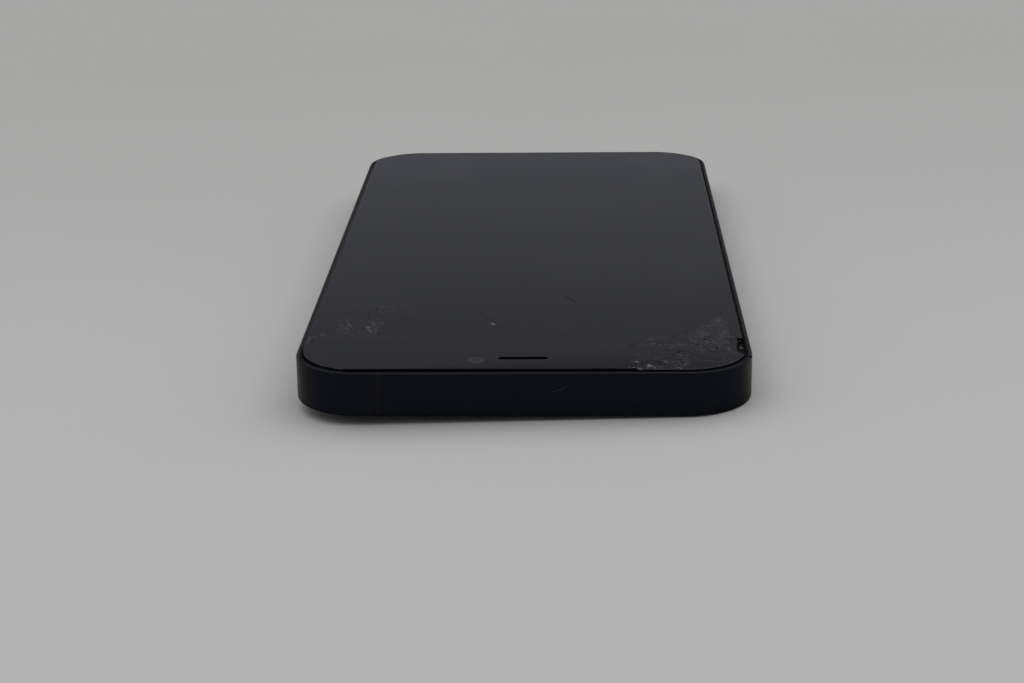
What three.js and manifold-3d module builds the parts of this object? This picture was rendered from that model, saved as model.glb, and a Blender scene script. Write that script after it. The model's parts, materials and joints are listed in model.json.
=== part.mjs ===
// A flat-sided smartphone lying on its back, its cover glass broken at both corners of the earpiece end.
// Millimetres, +Z up. The origin is below the middle of the phone, level with the lens rings it rests on.
// The earpiece end is at -Y. Seen from the screen side with the earpiece up, the right-hand side is -X.
import * as THREE from "three";
import { mergeVertices } from "three/addons/utils/BufferGeometryUtils.js";
import Module from "manifold-3d";

const wasm = await Module();
wasm.setup();

// Overall size
const WIDTH = 71.5; // across the frame
const LENGTH = 146.7; // along the frame
const BODY_DEPTH = 7.4; // rear glass face to front glass face
const CORNER_R = 10.5; // frame corner in plan
const EDGE_R = 0.35; // round along the edges of the frame

// Gaps between parts
const FIT = 0.1; // round and under a part that sits in another
const SLIP = 0.08; // each side of a part that moves
const PART_GAP = 0.6; // between neighbours in the inner room

// Frame
const RIM = 0.65; // wall beside the front recess
const REAR_RIM = 0.95; // wall beside the rear glass
const WALL = 2.6; // wall beside the inner room
const MIDPLATE_T = 0.5;
const STRIP_W = 0.9; // antenna strip
const STRIP_DEPTH = 0.6;
const STRIP_GAP = 0.04; // each side of an antenna strip
const STRIP_FROM_END = 17.2; // on the long sides
const STRIP_FROM_CORNER = 3.2; // on the short ends

// Screen
const GLASS_T = 0.65;
const GLASS_EDGE_R = 0.2;
const FRONT_PROUD = 0.25; // cover glass above the frame
const BEZEL_LIP = 0.15; // beside the cover glass
const BEZEL_FLANGE = 1.85; // under the cover glass
const BEZEL_T = 0.6;
const PANEL_T = 1.3;
const NOTCH_W = 34; // cut out of the panel behind the earpiece
const NOTCH_FROM_END = 9;
const EARPIECE_W = 7.8;
const EARPIECE_H = 1.2;
const EARPIECE_FROM_END = 6.5;
const EARPIECE_MESH_T = 0.3;

// Rear glass and rear cameras
const REAR_GLASS_T = 0.75;
const REAR_PROUD = 0.15; // rear glass below the frame
const PLATEAU_H = 0.8;
const PLATEAU_FROM_EDGE = 4;
const LENS_R = 6.2; // lens ring
const LENS_RING_W = 1.3;
const LENS_RING_H = 0.7;
const LENS_NECK = 0.3; // wall of the ring inside the rear glass
const LENS_GAP = 2; // between the two rings
const LENS_MARGIN = 0.8; // from ring to plateau edge
const LENS_COVER_T = 0.5;
const LENS_COVER_IN = 0.2; // cover behind the ring face
const BARREL_R = 4.2;
const CAMERA_GAP = 3; // between the camera housings
const CAMERA_CORNER_R = 2;
const BRACKET_T = 0.3;
const FLASH_R = 2.9;
const REAR_MIC_R = 0.5;

// Broken corner of the cover glass
const CRACK_W = 0.13; // between neighbouring shards
const IMPACT_FROM_SIDE = 1;
const IMPACT_FROM_END = 12.35;
const RAY_BEND = 0.07; // sideways step in the middle of each crack
const RING_SHARE = 0.52; // crack ring part of the way out along the rays
const SHARD_START = 0.06; // the rays meet in crushed glass
const SHARD_TILT = 0.35; // degrees
const CHIP_W = 1.5;
const CHIP_IN = 0.8;

// Hairline cracks of the cover glass
const HAIRLINE_W = 0.12;
const HAIRLINE_DEPTH = 0.2;
const LEFT_HIT_FROM_SIDE = 6.75;
const LEFT_HIT_FROM_END = 22.35;
const SPECK_FROM_END = 22.75;
const SPECK_FROM_MIDDLE = 5.3;

// Buttons
const BUTTON_H = 2.6;
const BUTTON_PROUD = 0.35;
const BUTTON_TRAVEL = 0.3;
const BUTTON_WING = 0.8; // holds the button behind the wall
const FLANGE_T = 0.6;
const POCKET_DEPTH = 1.3;
const PLUNGER_R = 0.8;
const POWER_L = 17.5;
const POWER_FROM_END = 49;
const VOLUME_L = 10.5;
const VOLUME_UP_FROM_END = 42.5;
const VOLUME_GAP = 1.4; // between the wings of the two buttons
const MUTE_L = 6;
const MUTE_H = 1.6;
const MUTE_SLOT_H = 3;
const MUTE_PROUD = 0.2;
const MUTE_FROM_END = 29.5;
const KEY_L = 4;
const KEY_T = 1.4;

// SIM tray and reader
const TRAY_FROM_END = 85;
const TRAY_W = 11;
const TRAY_L = 17;
const TRAY_T = 0.9;
const CARD_W = 8.8;
const CARD_L = 12.3;
const DOOR_W = 13.4;
const DOOR_H = 2;
const DOOR_T = 1.4;
const EJECT_R = 0.45;
const READER_WALL = 0.2;

// Charge end
const PORT_W = 8.4;
const PORT_H = 2.5;
const SOCKET_WALL = 0.3;
const SOCKET_L = 7.5;
const SCREW_FROM_PORT = 3.2;
const SCREW_HEAD_R = 0.75;
const SCREW_HEAD_L = 1.2;
const SCREW_R = 0.5;
const SCREW_L = 4.6;
const GRILLE_R = 0.7;
const GRILLE_PITCH = 2.25;
const GRILLE_FROM_SCREW = 2.8;
const MESH_T = 0.25;

// Inner parts
const KEY_ROOM = 2.2; // kept free along the long walls
const TOP_ROW = 9.5; // length of the row behind the earpiece
const BOTTOM_ROW = 23; // length of the row behind the charge socket
const BOARD_W = 23;
const BOARD_T = 1.3;
const SHIELD_WALL = 0.2;
const SHIELD_HEADROOM = 0.8;
const SHIELD_INSET = 1;
const BATTERY_HEADROOM = 0.35;
const BATTERY_R = 1.5;
const FLEX_T = 0.2;
const FLEX_W = 6;
const COIL_R = 20;
const COIL_BORE_R = 9;
const COIL_T = 0.4;
const MAGNET_R = 27;
const MAGNET_W = 3.5;
const MAGNET_T = 0.5;
const FRONT_CAMERA = 6; // side of its housing
const FRONT_CAMERA_R = 1.45;
const FRONT_CAMERA_X = -7.25;

// Facets
const CORNER_STEPS = 16; // in each corner of the frame
const ROUND_STEPS = 4; // in each quarter of a small slot's ends
const RING_STEPS = 32; // round a large ring
const HOLE_STEPS = 10; // round a small hole
const EDGE_STEPS = 3; // across an edge round
const BEZEL_STEPS = 12; // in each corner of the bezel

// Levels, from the lens rings up to the cover glass
const plateauZ = LENS_RING_H;
const rearZ = plateauZ + PLATEAU_H;
const frontZ = rearZ + BODY_DEPTH;
const frameBottom = rearZ + REAR_PROUD;
const frameTop = frontZ - FRONT_PROUD;
const rearGlassTop = rearZ + REAR_GLASS_T;
const midplateBottom = rearGlassTop + FIT;
const midplateTop = midplateBottom + MIDPLATE_T;
const glassBottom = frontZ - GLASS_T;
const panelTop = glassBottom - FIT;
const panelBottom = panelTop - PANEL_T;
const bezelBottom = panelTop - BEZEL_T;
const ledge = bezelBottom - FIT;
const floor = midplateTop + FIT;
const ceiling = panelBottom - FIT;
const buttonZ = (midplateTop + ledge) / 2;
const boardTop = floor + BOARD_T;
const onBoard = boardTop + FIT;

// Plan of the inner room
const sideX = WIDTH / 2;
const endY = LENGTH / 2;
const roomX = sideX - WALL;
const roomY = endY - WALL;
const straightX = sideX - CORNER_R;
const boardRight = roomX - KEY_ROOM;
const boardLeft = boardRight - BOARD_W;
const boardStart = -roomY + TOP_ROW;
const boardEnd = roomY - BOTTOM_ROW;
const readerHalf = TRAY_W / 2 + SLIP + READER_WALL;
const trayY = TRAY_FROM_END - endY;
const trayZ = onBoard + READER_WALL + SLIP + TRAY_T / 2;
const earpieceY = EARPIECE_FROM_END - endY;

// Rear cameras
const lensPitch = 2 * LENS_R + LENS_GAP;
const plateauR = LENS_R + LENS_MARGIN;
const plateauSide = lensPitch + 2 * plateauR;
const plateauX = PLATEAU_FROM_EDGE + plateauSide / 2 - sideX;
const plateauY = PLATEAU_FROM_EDGE + plateauSide / 2 - endY;
const lensX = plateauX - lensPitch / 2;
const mainLensY = plateauY - lensPitch / 2;
const wideLensY = plateauY + lensPitch / 2;
const flashX = plateauX + lensPitch / 2;
const lensBoreR = LENS_R - LENS_RING_W;
const lensHoleR = lensBoreR + LENS_NECK + FIT;
const cameraSide = lensPitch - CAMERA_GAP;
const cameraTop = ceiling - BRACKET_T - FIT;
const batteryStart = wideLensY + cameraSide / 2 + PART_GAP;

// Charge end
const portZ = Math.min(buttonZ, ceiling - PORT_H / 2 - SOCKET_WALL);
const screwX = PORT_W / 2 + SCREW_FROM_PORT;
const grilleX = screwX + GRILLE_FROM_SCREW;
const bottomPartX = screwX + SCREW_HEAD_R + PART_GAP;
const bottomPartStart = boardEnd + FLEX_W / 2 + 2 * PART_GAP;
const bottomPartEnd = roomY - MESH_T - 2 * FIT;

// Cover glass
const glassInset = RIM + FIT + BEZEL_LIP + FIT;
const glassX = sideX - glassInset;
const glassY = endY - glassInset;
const impact = new THREE.Vector2(glassX - IMPACT_FROM_SIDE, IMPACT_FROM_END - glassY);

const materials = {
  frame: new THREE.MeshStandardMaterial({ color: 0x1a2233, roughness: 0.45, metalness: 0.9 }),
  strip: new THREE.MeshStandardMaterial({ color: 0x2c323c, roughness: 0.6 }),
  glass: new THREE.MeshStandardMaterial({ color: 0x0a0b0d, roughness: 0.08 }),
  shard: new THREE.MeshStandardMaterial({ color: 0x34383c, roughness: 0.3 }),
  rearGlass: new THREE.MeshStandardMaterial({ color: 0x16263f, roughness: 0.15 }),
  bezel: new THREE.MeshStandardMaterial({ color: 0x08080a, roughness: 0.6 }),
  lens: new THREE.MeshStandardMaterial({ color: 0x06070a, roughness: 0.05 }),
  flash: new THREE.MeshStandardMaterial({ color: 0xe9e2c8, roughness: 0.3 }),
  black: new THREE.MeshStandardMaterial({ color: 0x141416, roughness: 0.7 }),
  steel: new THREE.MeshStandardMaterial({ color: 0xa9adb2, roughness: 0.35, metalness: 0.9 }),
  board: new THREE.MeshStandardMaterial({ color: 0x14201c, roughness: 0.6 }),
  copper: new THREE.MeshStandardMaterial({ color: 0xb56a3a, roughness: 0.4, metalness: 0.9 }),
};

// Outlines

function roundedRect(width, length, radius) {
  const x = width / 2 - radius;
  const y = length / 2 - radius;
  const shape = new THREE.Shape();
  shape.absarc(x, -y, radius, -Math.PI / 2, 0);
  shape.absarc(x, y, radius, 0, Math.PI / 2);
  shape.absarc(-x, y, radius, Math.PI / 2, Math.PI);
  shape.absarc(-x, -y, radius, Math.PI, Math.PI * 1.5);
  shape.closePath();
  return shape;
}

// The outline of the phone, moved in from its sides.
const phoneOutline = (inset) => roundedRect(WIDTH - 2 * inset, LENGTH - 2 * inset, CORNER_R - inset);

// A slot with round ends.
const oblong = (length, height) => roundedRect(length, height, height / 2 - 0.001);

function circle(radius) {
  const shape = new THREE.Shape();
  shape.absarc(0, 0, radius, 0, Math.PI * 2);
  return shape;
}

function ringOutline(outer, inner) {
  const shape = circle(outer);
  shape.holes.push(circle(inner));
  return shape;
}

// Geometries

// An arc of an outline gets twice as many facets as its curve segments.
const arcSegments = (facets) => facets / 2;

function prism(shape, bottom, top, steps = ROUND_STEPS) {
  const options = { depth: top - bottom, bevelEnabled: false, curveSegments: arcSegments(steps) };
  return new THREE.ExtrudeGeometry(shape, options).translate(0, 0, bottom);
}

// A plate whose upper and lower edges are rounded.
function roundedPlate(shape, bottom, top, radius, steps, edgeSteps) {
  const options = {
    depth: top - bottom - 2 * radius,
    curveSegments: arcSegments(steps),
    bevelThickness: radius,
    bevelSize: radius,
    bevelOffset: -radius,
    bevelSegments: edgeSteps,
  };
  return new THREE.ExtrudeGeometry(shape, options).translate(0, 0, bottom + radius);
}

function box(x0, x1, y0, y1, z0, z1) {
  const geometry = new THREE.BoxGeometry(x1 - x0, y1 - y0, z1 - z0);
  return geometry.translate((x0 + x1) / 2, (y0 + y1) / 2, (z0 + z1) / 2);
}

const axisX = new THREE.Vector3(1, 0, 0);
const axisY = new THREE.Vector3(0, 1, 0);
const axisZ = new THREE.Vector3(0, 0, 1);
const towardsX = new THREE.Matrix4().makeBasis(axisY, axisZ, axisX);
const towardsY = new THREE.Matrix4().makeBasis(axisX.clone().negate(), axisZ, axisY);

// A prism that runs along X: the outline's width lies along Y and its height along Z.
const prismX = (shape, x0, x1, steps) => prism(shape, x0, x1, steps).applyMatrix4(towardsX);

// A prism that runs along Y: the outline's width lies along X and its height along Z.
const prismY = (shape, y0, y1, steps) => prism(shape, y0, y1, steps).applyMatrix4(towardsY);

// A turned part about the Z axis, from a closed outline of radius and height pairs.
function turned(points, steps) {
  const closed = [...points, points[0]].map(([radius, height]) => new THREE.Vector2(radius, height));
  return new THREE.LatheGeometry(closed, steps).rotateX(Math.PI / 2);
}

// Solids

function solid(geometry) {
  const bare = geometry.clone();
  bare.deleteAttribute("normal");
  bare.deleteAttribute("uv");
  const welded = mergeVertices(bare, 1e-5);
  const mesh = new wasm.Mesh({
    numProp: 3,
    vertProperties: new Float32Array(welded.attributes.position.array),
    triVerts: new Uint32Array(welded.index.array),
  });
  mesh.merge();
  return new wasm.Manifold(mesh);
}

function join(...geometries) {
  return geometries.map(solid).reduce((made, next) => made.add(next));
}

function cut(body, ...geometries) {
  return geometries.reduce((kept, geometry) => kept.subtract(solid(geometry)), body);
}

function geometryOf(body) {
  const { numProp, vertProperties, triVerts } = body.getMesh();
  const geometry = new THREE.BufferGeometry();
  const vertices = new THREE.InterleavedBuffer(vertProperties, numProp);
  geometry.setAttribute("position", new THREE.InterleavedBufferAttribute(vertices, 3, 0));
  geometry.setIndex(new THREE.BufferAttribute(triVerts, 1));
  const faceted = geometry.toNonIndexed();
  faceted.computeVertexNormals();
  return faceted;
}

function piece(parent, name, shape, material, x = 0, y = 0, z = 0) {
  const geometry = shape.isBufferGeometry ? shape : geometryOf(shape);
  const mesh = new THREE.Mesh(geometry, material);
  mesh.name = name;
  mesh.position.set(x, y, z);
  parent.add(mesh);
  return mesh;
}

// Frame

const volumePitch = VOLUME_L + 2 * BUTTON_WING + VOLUME_GAP;

// A button lies across the right wall at x = sideX; turned half round about Z it fits the left wall.
const buttons = [
  { name: "power_button", length: POWER_L, y: POWER_FROM_END - endY, turn: Math.PI },
  { name: "volume_up_button", length: VOLUME_L, y: VOLUME_UP_FROM_END - endY, turn: 0 },
  { name: "volume_down_button", length: VOLUME_L, y: VOLUME_UP_FROM_END + volumePitch - endY, turn: 0 },
];

function buttonOpening({ length, y, turn }) {
  const slot = oblong(length + 2 * SLIP, BUTTON_H + 2 * SLIP);
  const pocketHalf = length / 2 + BUTTON_WING + SLIP;
  const pocketHeight = BUTTON_H / 2 + SLIP;
  const shoulder = roomX + POCKET_DEPTH;
  const opening = [
    prismX(slot, shoulder - FIT, sideX + 1),
    box(roomX - 1, shoulder, -pocketHalf, pocketHalf, -pocketHeight, pocketHeight),
  ];
  return opening.map((geometry) => geometry.rotateZ(turn).translate(0, y, buttonZ));
}

function muteOpening() {
  const pocketHalf = MUTE_L / 2 + BUTTON_WING + SLIP;
  const shoulder = roomX + POCKET_DEPTH;
  const opening = [
    prismX(roundedRect(MUTE_L, MUTE_SLOT_H, MUTE_H / 2), shoulder - FIT, sideX + 1),
    box(roomX - 1, shoulder, -pocketHalf, pocketHalf, -MUTE_SLOT_H / 2, MUTE_SLOT_H / 2),
  ];
  return opening.map((geometry) => geometry.translate(0, MUTE_FROM_END - endY, buttonZ));
}

function trayOpening() {
  const doorSlot = oblong(DOOR_W + 2 * SLIP, DOOR_H + 2 * SLIP);
  const traySlot = roundedRect(TRAY_W + 2 * SLIP, TRAY_T + 2 * SLIP, SLIP);
  const opening = [
    prismX(doorSlot, sideX - DOOR_T - FIT, sideX + 1),
    prismX(traySlot, roomX - 1, sideX, 1),
  ];
  return opening.map((geometry) => geometry.translate(0, trayY, trayZ));
}

// Holes of a grille, from the screw out towards the corner; a strip beside them takes some of their room.
function grillePlaces(stripRoom) {
  const room = straightX - SCREW_FROM_PORT - stripRoom - grilleX + 1;
  const count = Math.max(1, Math.floor(room / GRILLE_PITCH) + 1);
  return Array.from({ length: count }, (_, i) => grilleX + i * GRILLE_PITCH);
}

const speakerPlaces = grillePlaces(0).map((x) => -x);
const micPlaces = grillePlaces(2 * STRIP_W + GRILLE_R);

function chargeEndOpenings() {
  const holes = [...speakerPlaces, ...micPlaces].map((x) =>
    prismY(circle(GRILLE_R), roomY - 1, endY + 1, HOLE_STEPS).translate(x, 0, portZ),
  );
  const screws = [-screwX, screwX].flatMap((x) => [
    prismY(circle(SCREW_HEAD_R + SLIP), endY - SCREW_HEAD_L - FIT, endY + 1, HOLE_STEPS).translate(x, 0, portZ),
    prismY(circle(SCREW_R + SLIP), roomY - 1, endY, HOLE_STEPS).translate(x, 0, portZ),
  ]);
  const port = prismY(oblong(PORT_W, PORT_H), roomY - 1, endY + 1, 8).translate(0, 0, portZ);
  return [...holes, ...screws, port];
}

// Where the antenna strips cross the frame: a point on its outside and the turn from +X to facing out.
const stripPlaces = [
  { x: sideX, y: STRIP_FROM_END - endY, turn: 0 },
  { x: sideX, y: endY - STRIP_FROM_END, turn: 0 },
  { x: -sideX, y: STRIP_FROM_END - endY, turn: Math.PI },
  { x: -sideX, y: endY - STRIP_FROM_END, turn: Math.PI },
  { x: STRIP_FROM_CORNER - straightX, y: -endY, turn: -Math.PI / 2 },
  { x: straightX - STRIP_FROM_CORNER / 2, y: endY, turn: Math.PI / 2 },
];

function stripGroove({ x, y, turn }) {
  const half = STRIP_W / 2 + STRIP_GAP;
  const groove = box(-STRIP_DEPTH, 1, -half, half, frameBottom - 1, frameTop + 1);
  return groove.rotateZ(turn).translate(x, y, 0);
}

function frameSolid() {
  const above = frontZ + 1;
  const below = -1;
  const blank = roundedPlate(phoneOutline(0), frameBottom, frameTop, EDGE_R, CORNER_STEPS, EDGE_STEPS);
  const recesses = [
    prism(phoneOutline(RIM), ledge, above, CORNER_STEPS),
    prism(phoneOutline(WALL), midplateTop, above, CORNER_STEPS / 2),
    prism(phoneOutline(REAR_RIM), below, midplateBottom, CORNER_STEPS),
  ];
  const barrelHoles = [mainLensY, wideLensY].map((y) =>
    prism(circle(BARREL_R + 3 * FIT), below, midplateTop + FIT, RING_STEPS / 2).translate(lensX, y, 0),
  );
  const coilHole = prism(circle(MAGNET_R + 4 * FIT), below, midplateTop + FIT, RING_STEPS);
  const socketX = PORT_W / 2 + SOCKET_WALL + FIT;
  const socketHole = box(-socketX, socketX, roomY - SOCKET_L - PART_GAP, roomY, below, midplateTop + FIT);
  return cut(
    solid(blank),
    ...recesses,
    ...barrelHoles,
    coilHole,
    socketHole,
    ...buttons.flatMap(buttonOpening),
    ...muteOpening(),
    ...trayOpening(),
    ...chargeEndOpenings(),
    ...stripPlaces.map(stripGroove),
  );
}

// An antenna strip: the section of the frame's skin, lying across the frame and flush with it.
function stripGeometry() {
  const back = STRIP_GAP - STRIP_DEPTH;
  const edge = Math.min(EDGE_R, STRIP_DEPTH - 2 * STRIP_GAP);
  const section = new THREE.Shape();
  section.moveTo(back, frameBottom);
  section.absarc(-edge, frameBottom + edge, edge, -Math.PI / 2, 0);
  section.absarc(-edge, frameTop - edge, edge, 0, Math.PI / 2);
  section.lineTo(back, frameTop);
  section.closePath();
  return prism(section, -STRIP_W / 2, STRIP_W / 2, EDGE_STEPS).rotateX(Math.PI / 2);
}

function addFrame(parent) {
  piece(parent, "frame", frameSolid(), materials.frame);
  stripPlaces.forEach(({ x, y, turn }, i) => {
    const strip = piece(parent, `antenna_strip_${i + 1}`, stripGeometry(), materials.strip, x, y);
    strip.rotation.z = turn;
  });
}

// Cover glass

// Cracks out from the impact: direction in degrees from +X and how far each one runs.
const rays = [
  [95.3, 15.8],
  [126, 10],
  [154, 11.5],
  [180, 17],
  [206, 18.5],
  [234, 20],
  [292, 22],
];

const rayPoint = (i, share) => {
  const [angle, reach] = rays[i];
  const wander = 1 + RAY_BEND * Math.sin(5 * i + 7 * share);
  const turn = THREE.MathUtils.degToRad(angle);
  const out = new THREE.Vector2(Math.cos(turn), Math.sin(turn)).multiplyScalar(reach * share * wander);
  return out.add(impact);
};

// The middle of a crack between two points, stepped to one side.
function kink(a, b, side) {
  const along = b.clone().sub(a);
  const across = new THREE.Vector2(-along.y, along.x).multiplyScalar(RAY_BEND * side);
  return a.clone().add(along.multiplyScalar(0.5)).add(across);
}

const rayKink = (i, from, to) => kink(rayPoint(i, from), rayPoint(i, to), 1);
const ringKink = (i, share) => kink(rayPoint(i, share), rayPoint(i + 1, share), i % 2 ? 1 : -1);

// One shard between two rays and two rings, as seen from above, going round to the left.
function shardOutline(i, from, to) {
  return [
    rayPoint(i, from),
    rayKink(i, from, to),
    rayPoint(i, to),
    ringKink(i, to),
    rayPoint(i + 1, to),
    rayKink(i + 1, from, to),
    rayPoint(i + 1, from),
    ringKink(i, from),
  ];
}

// Moves every side of an outline that runs to the left by the same distance inwards.
function shrink(points, distance) {
  return points.map((point, i) => {
    const before = points.at(i - 1);
    const after = points[(i + 1) % points.length];
    const a = point.clone().sub(before).normalize();
    const b = after.clone().sub(point).normalize();
    const inward = new THREE.Vector2(-a.y - b.y, a.x + b.x).multiplyScalar(distance / (1 + a.dot(b)));
    return point.clone().add(inward);
  });
}

// All that has come off the sheet at the broken corner.
function brokenOutline() {
  const beyond = 5;
  const last = rays.length - 1;
  const bend = rayKink(0, SHARD_START, RING_SHARE);
  const start = bend.clone().lerp(rayPoint(0, SHARD_START), 0.5);
  const rim = rays.slice(0, last).flatMap((_, i) => [rayPoint(i, 1), ringKink(i, 1)]);
  return [
    start,
    bend,
    rayPoint(0, RING_SHARE),
    rayKink(0, RING_SHARE, 1),
    ...rim,
    rayPoint(last, 1),
    new THREE.Vector2(glassX + beyond, -glassY - beyond),
    new THREE.Vector2(glassX + beyond, start.y),
  ];
}

// Glass that is lost at the impact.
function lostOutline() {
  const beyond = 3;
  const edge = [
    [beyond, 3.4], [0.85, 2.6], [0.1, 3], [-0.15, -0.1], [-0.4, -1.9], [-0.4, -3.8], [0.6, -5.3], [beyond, -5.6],
  ];
  return edge.map(([x, y]) => new THREE.Vector2(x, y).add(impact));
}

// Bites out of the end edge, each placed from the impact along the edge.
function chipOutlines() {
  return [-5.2, -10, -13.6, -16.1, -22.3].map((along, i) => {
    const x = impact.x + along;
    const half = (CHIP_W / 2) * (1 - 0.13 * i);
    const depth = CHIP_IN * (1 - 0.11 * i);
    const edge = [[-half, -1], [half, -1], [half * 0.9, depth * 0.3], [half * 0.2, depth], [-half * 0.8, depth * 0.5]];
    return edge.map(([dx, dy]) => new THREE.Vector2(x + dx, dy - glassY));
  });
}

const through = (points) => prism(new THREE.Shape(points), glassBottom - 1, frontZ + 1);

// Hairline cracks as runs of points, each from a point on the glass.
const leftHit = new THREE.Vector2(LEFT_HIT_FROM_SIDE - glassX, LEFT_HIT_FROM_END - glassY);
const speck = new THREE.Vector2(-SPECK_FROM_MIDDLE, SPECK_FROM_END - glassY);
const hairlines = [
  [leftHit, [[-1.4, 2.8], [-1.2, 1.4], [-0.4, -0.8]]],
  [leftHit, [[-0.9, -1.5], [-0.6, -3.3], [-1.5, -5.4]]],
  [leftHit, [[-2.4, -1.9], [-2.2, -4.6]]],
  [leftHit, [[1.1, -2], [1.3, -5]]],
  [leftHit, [[2.8, 2.6], [3.3, 0], [3.9, -1]]],
  [leftHit, [[2.4, -1.4], [3.1, -3.6]]],
  [leftHit, [[3.8, -2], [4.2, -5.3]]],
  [leftHit, [[2.9, 9.4], [3.1, 7], [2.6, 5.4], [2.2, 3.6]]],
  [leftHit, [[4.1, 9], [4.4, 8]]],
  [leftHit, [[8.5, 4.2], [8.7, 2.6]]],
  [leftHit, [[-5.9, 3], [-2.6, 2.8]]],
  [leftHit, [[-6, -8.4], [-6.1, -7], [-5.7, -6.3], [-5.2, -6.8]]],
  [speck, [[-2.5, 6.8], [-1.1, 3], [0, 0], [1.5, -2.3], [3, -4.4]]],
  [speck, [[4.1, 24.1], [6, 23]]],
  [speck, [[8.4, 19.2], [9.8, 18.3]]],
  [speck, [[11.9, 15.2], [13.3, 11.6]]],
  [speck, [[10.4, 2.9], [10.9, 2.2]]],
  [speck, [[11.6, -5.4], [12, -6.3]]],
];

// A notch from one point to the next, widest at the face of the glass.
function hairlineGroove(from, to, width) {
  const over = 0.05;
  const flare = width * (0.5 + over / HAIRLINE_DEPTH / 2);
  const along = to.clone().sub(from);
  const length = along.length();
  const section = new THREE.Shape();
  section.moveTo(-flare, over);
  section.lineTo(0, -HAIRLINE_DEPTH);
  section.lineTo(flare, over);
  section.closePath();
  const dir = new THREE.Vector3(along.x / length, along.y / length, 0);
  const frame = new THREE.Matrix4().makeBasis(axisZ.clone().cross(dir), axisZ, dir);
  frame.setPosition(from.x, from.y, frontZ);
  return prism(section, -width / 4, length + width / 4).applyMatrix4(frame);
}

function hairlineGrooves() {
  return hairlines.flatMap(([origin, run]) => {
    const points = run.map(([x, y]) => new THREE.Vector2(x, y).add(origin));
    return points.slice(1).map((to, i) => hairlineGroove(points[i], to, HAIRLINE_W * (1 - 0.15 * i)));
  });
}

function sheetSolid() {
  const blank = roundedPlate(phoneOutline(glassInset), glassBottom, frontZ, GLASS_EDGE_R, CORNER_STEPS, 2);
  return cut(solid(blank), through(lostOutline()), ...chipOutlines().map(through));
}

// A shard keeps its place in the sheet and leans a little.
function addShard(parent, sheet, i, from, to, count) {
  const outline = shrink(shardOutline(i, from, to), CRACK_W / 2);
  const shard = solid(through(outline)).intersect(sheet);
  if (shard.volume() < GLASS_T / 4) return false;
  const geometry = geometryOf(shard);
  geometry.computeBoundingBox();
  const middle = geometry.boundingBox.getCenter(new THREE.Vector3());
  geometry.translate(-middle.x, -middle.y, -middle.z);
  const mesh = piece(parent, `glass_shard_${count}`, geometry, materials.shard, middle.x, middle.y, middle.z);
  const lean = THREE.MathUtils.degToRad(SHARD_TILT);
  mesh.rotation.x = lean * Math.sin(4 * count);
  mesh.rotation.y = lean * Math.cos(3 * count);
  return true;
}

function addCoverGlass(parent) {
  const sheet = sheetSolid();
  const slot = prism(oblong(EARPIECE_W, EARPIECE_H), glassBottom - 1, frontZ + 1).translate(0, earpieceY, 0);
  const whole = cut(sheet, through(brokenOutline()), slot, ...hairlineGrooves());
  piece(parent, "cover_glass", whole, materials.glass);
  let count = 1;
  for (const [from, to] of [[SHARD_START, RING_SHARE], [RING_SHARE, 1]]) {
    for (let i = 0; i < rays.length - 1; i += 1) {
      if (addShard(parent, sheet, i, from, to, count)) count += 1;
    }
  }
}

function addScreen(parent) {
  addCoverGlass(parent);
  const outer = phoneOutline(RIM + FIT);
  const flangeHole = phoneOutline(RIM + FIT + BEZEL_FLANGE);
  const lipHole = phoneOutline(RIM + FIT + BEZEL_LIP);
  const flange = cut(
    solid(prism(outer, bezelBottom, frameTop, BEZEL_STEPS)),
    prism(flangeHole, bezelBottom - 1, frontZ, BEZEL_STEPS),
    prism(lipHole, panelTop, frontZ, BEZEL_STEPS),
  );
  piece(parent, "screen_bezel", flange, materials.bezel);
  const panelInset = RIM + FIT + BEZEL_FLANGE + FIT;
  const notchEnd = NOTCH_FROM_END - endY;
  const panel = cut(
    solid(prism(phoneOutline(panelInset), panelBottom, panelTop, 8)),
    box(-NOTCH_W / 2, NOTCH_W / 2, -endY, notchEnd, panelBottom - 1, panelTop + 1),
  );
  piece(parent, "display_panel", panel, materials.black);
  const meshShape = oblong(EARPIECE_W - 2 * FIT, EARPIECE_H - 2 * FIT);
  const mesh = prism(meshShape, 0, EARPIECE_MESH_T);
  piece(parent, "earpiece_mesh", mesh, materials.black, 0, earpieceY, glassBottom);
}

// Rear glass and rear cameras

function rearGlassSolid() {
  const inset = REAR_RIM + FIT;
  const sheet = roundedPlate(phoneOutline(inset), rearZ, rearGlassTop, GLASS_EDGE_R, CORNER_STEPS, 1);
  const square = roundedRect(plateauSide, plateauSide, plateauR);
  const plateau = roundedPlate(square, plateauZ, rearZ + 2 * GLASS_EDGE_R, GLASS_EDGE_R, 8, 2);
  const holes = [
    prism(circle(lensHoleR), -1, frontZ, RING_STEPS / 2).translate(lensX, mainLensY, 0),
    prism(circle(lensHoleR), -1, frontZ, RING_STEPS / 2).translate(lensX, wideLensY, 0),
    prism(circle(FLASH_R + FIT), -1, frontZ, RING_STEPS / 2).translate(flashX, mainLensY, 0),
    prism(circle(REAR_MIC_R), -1, frontZ, HOLE_STEPS).translate(flashX, wideLensY, 0),
  ];
  return cut(join(sheet, plateau.translate(plateauX, plateauY, 0)), ...holes);
}

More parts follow.
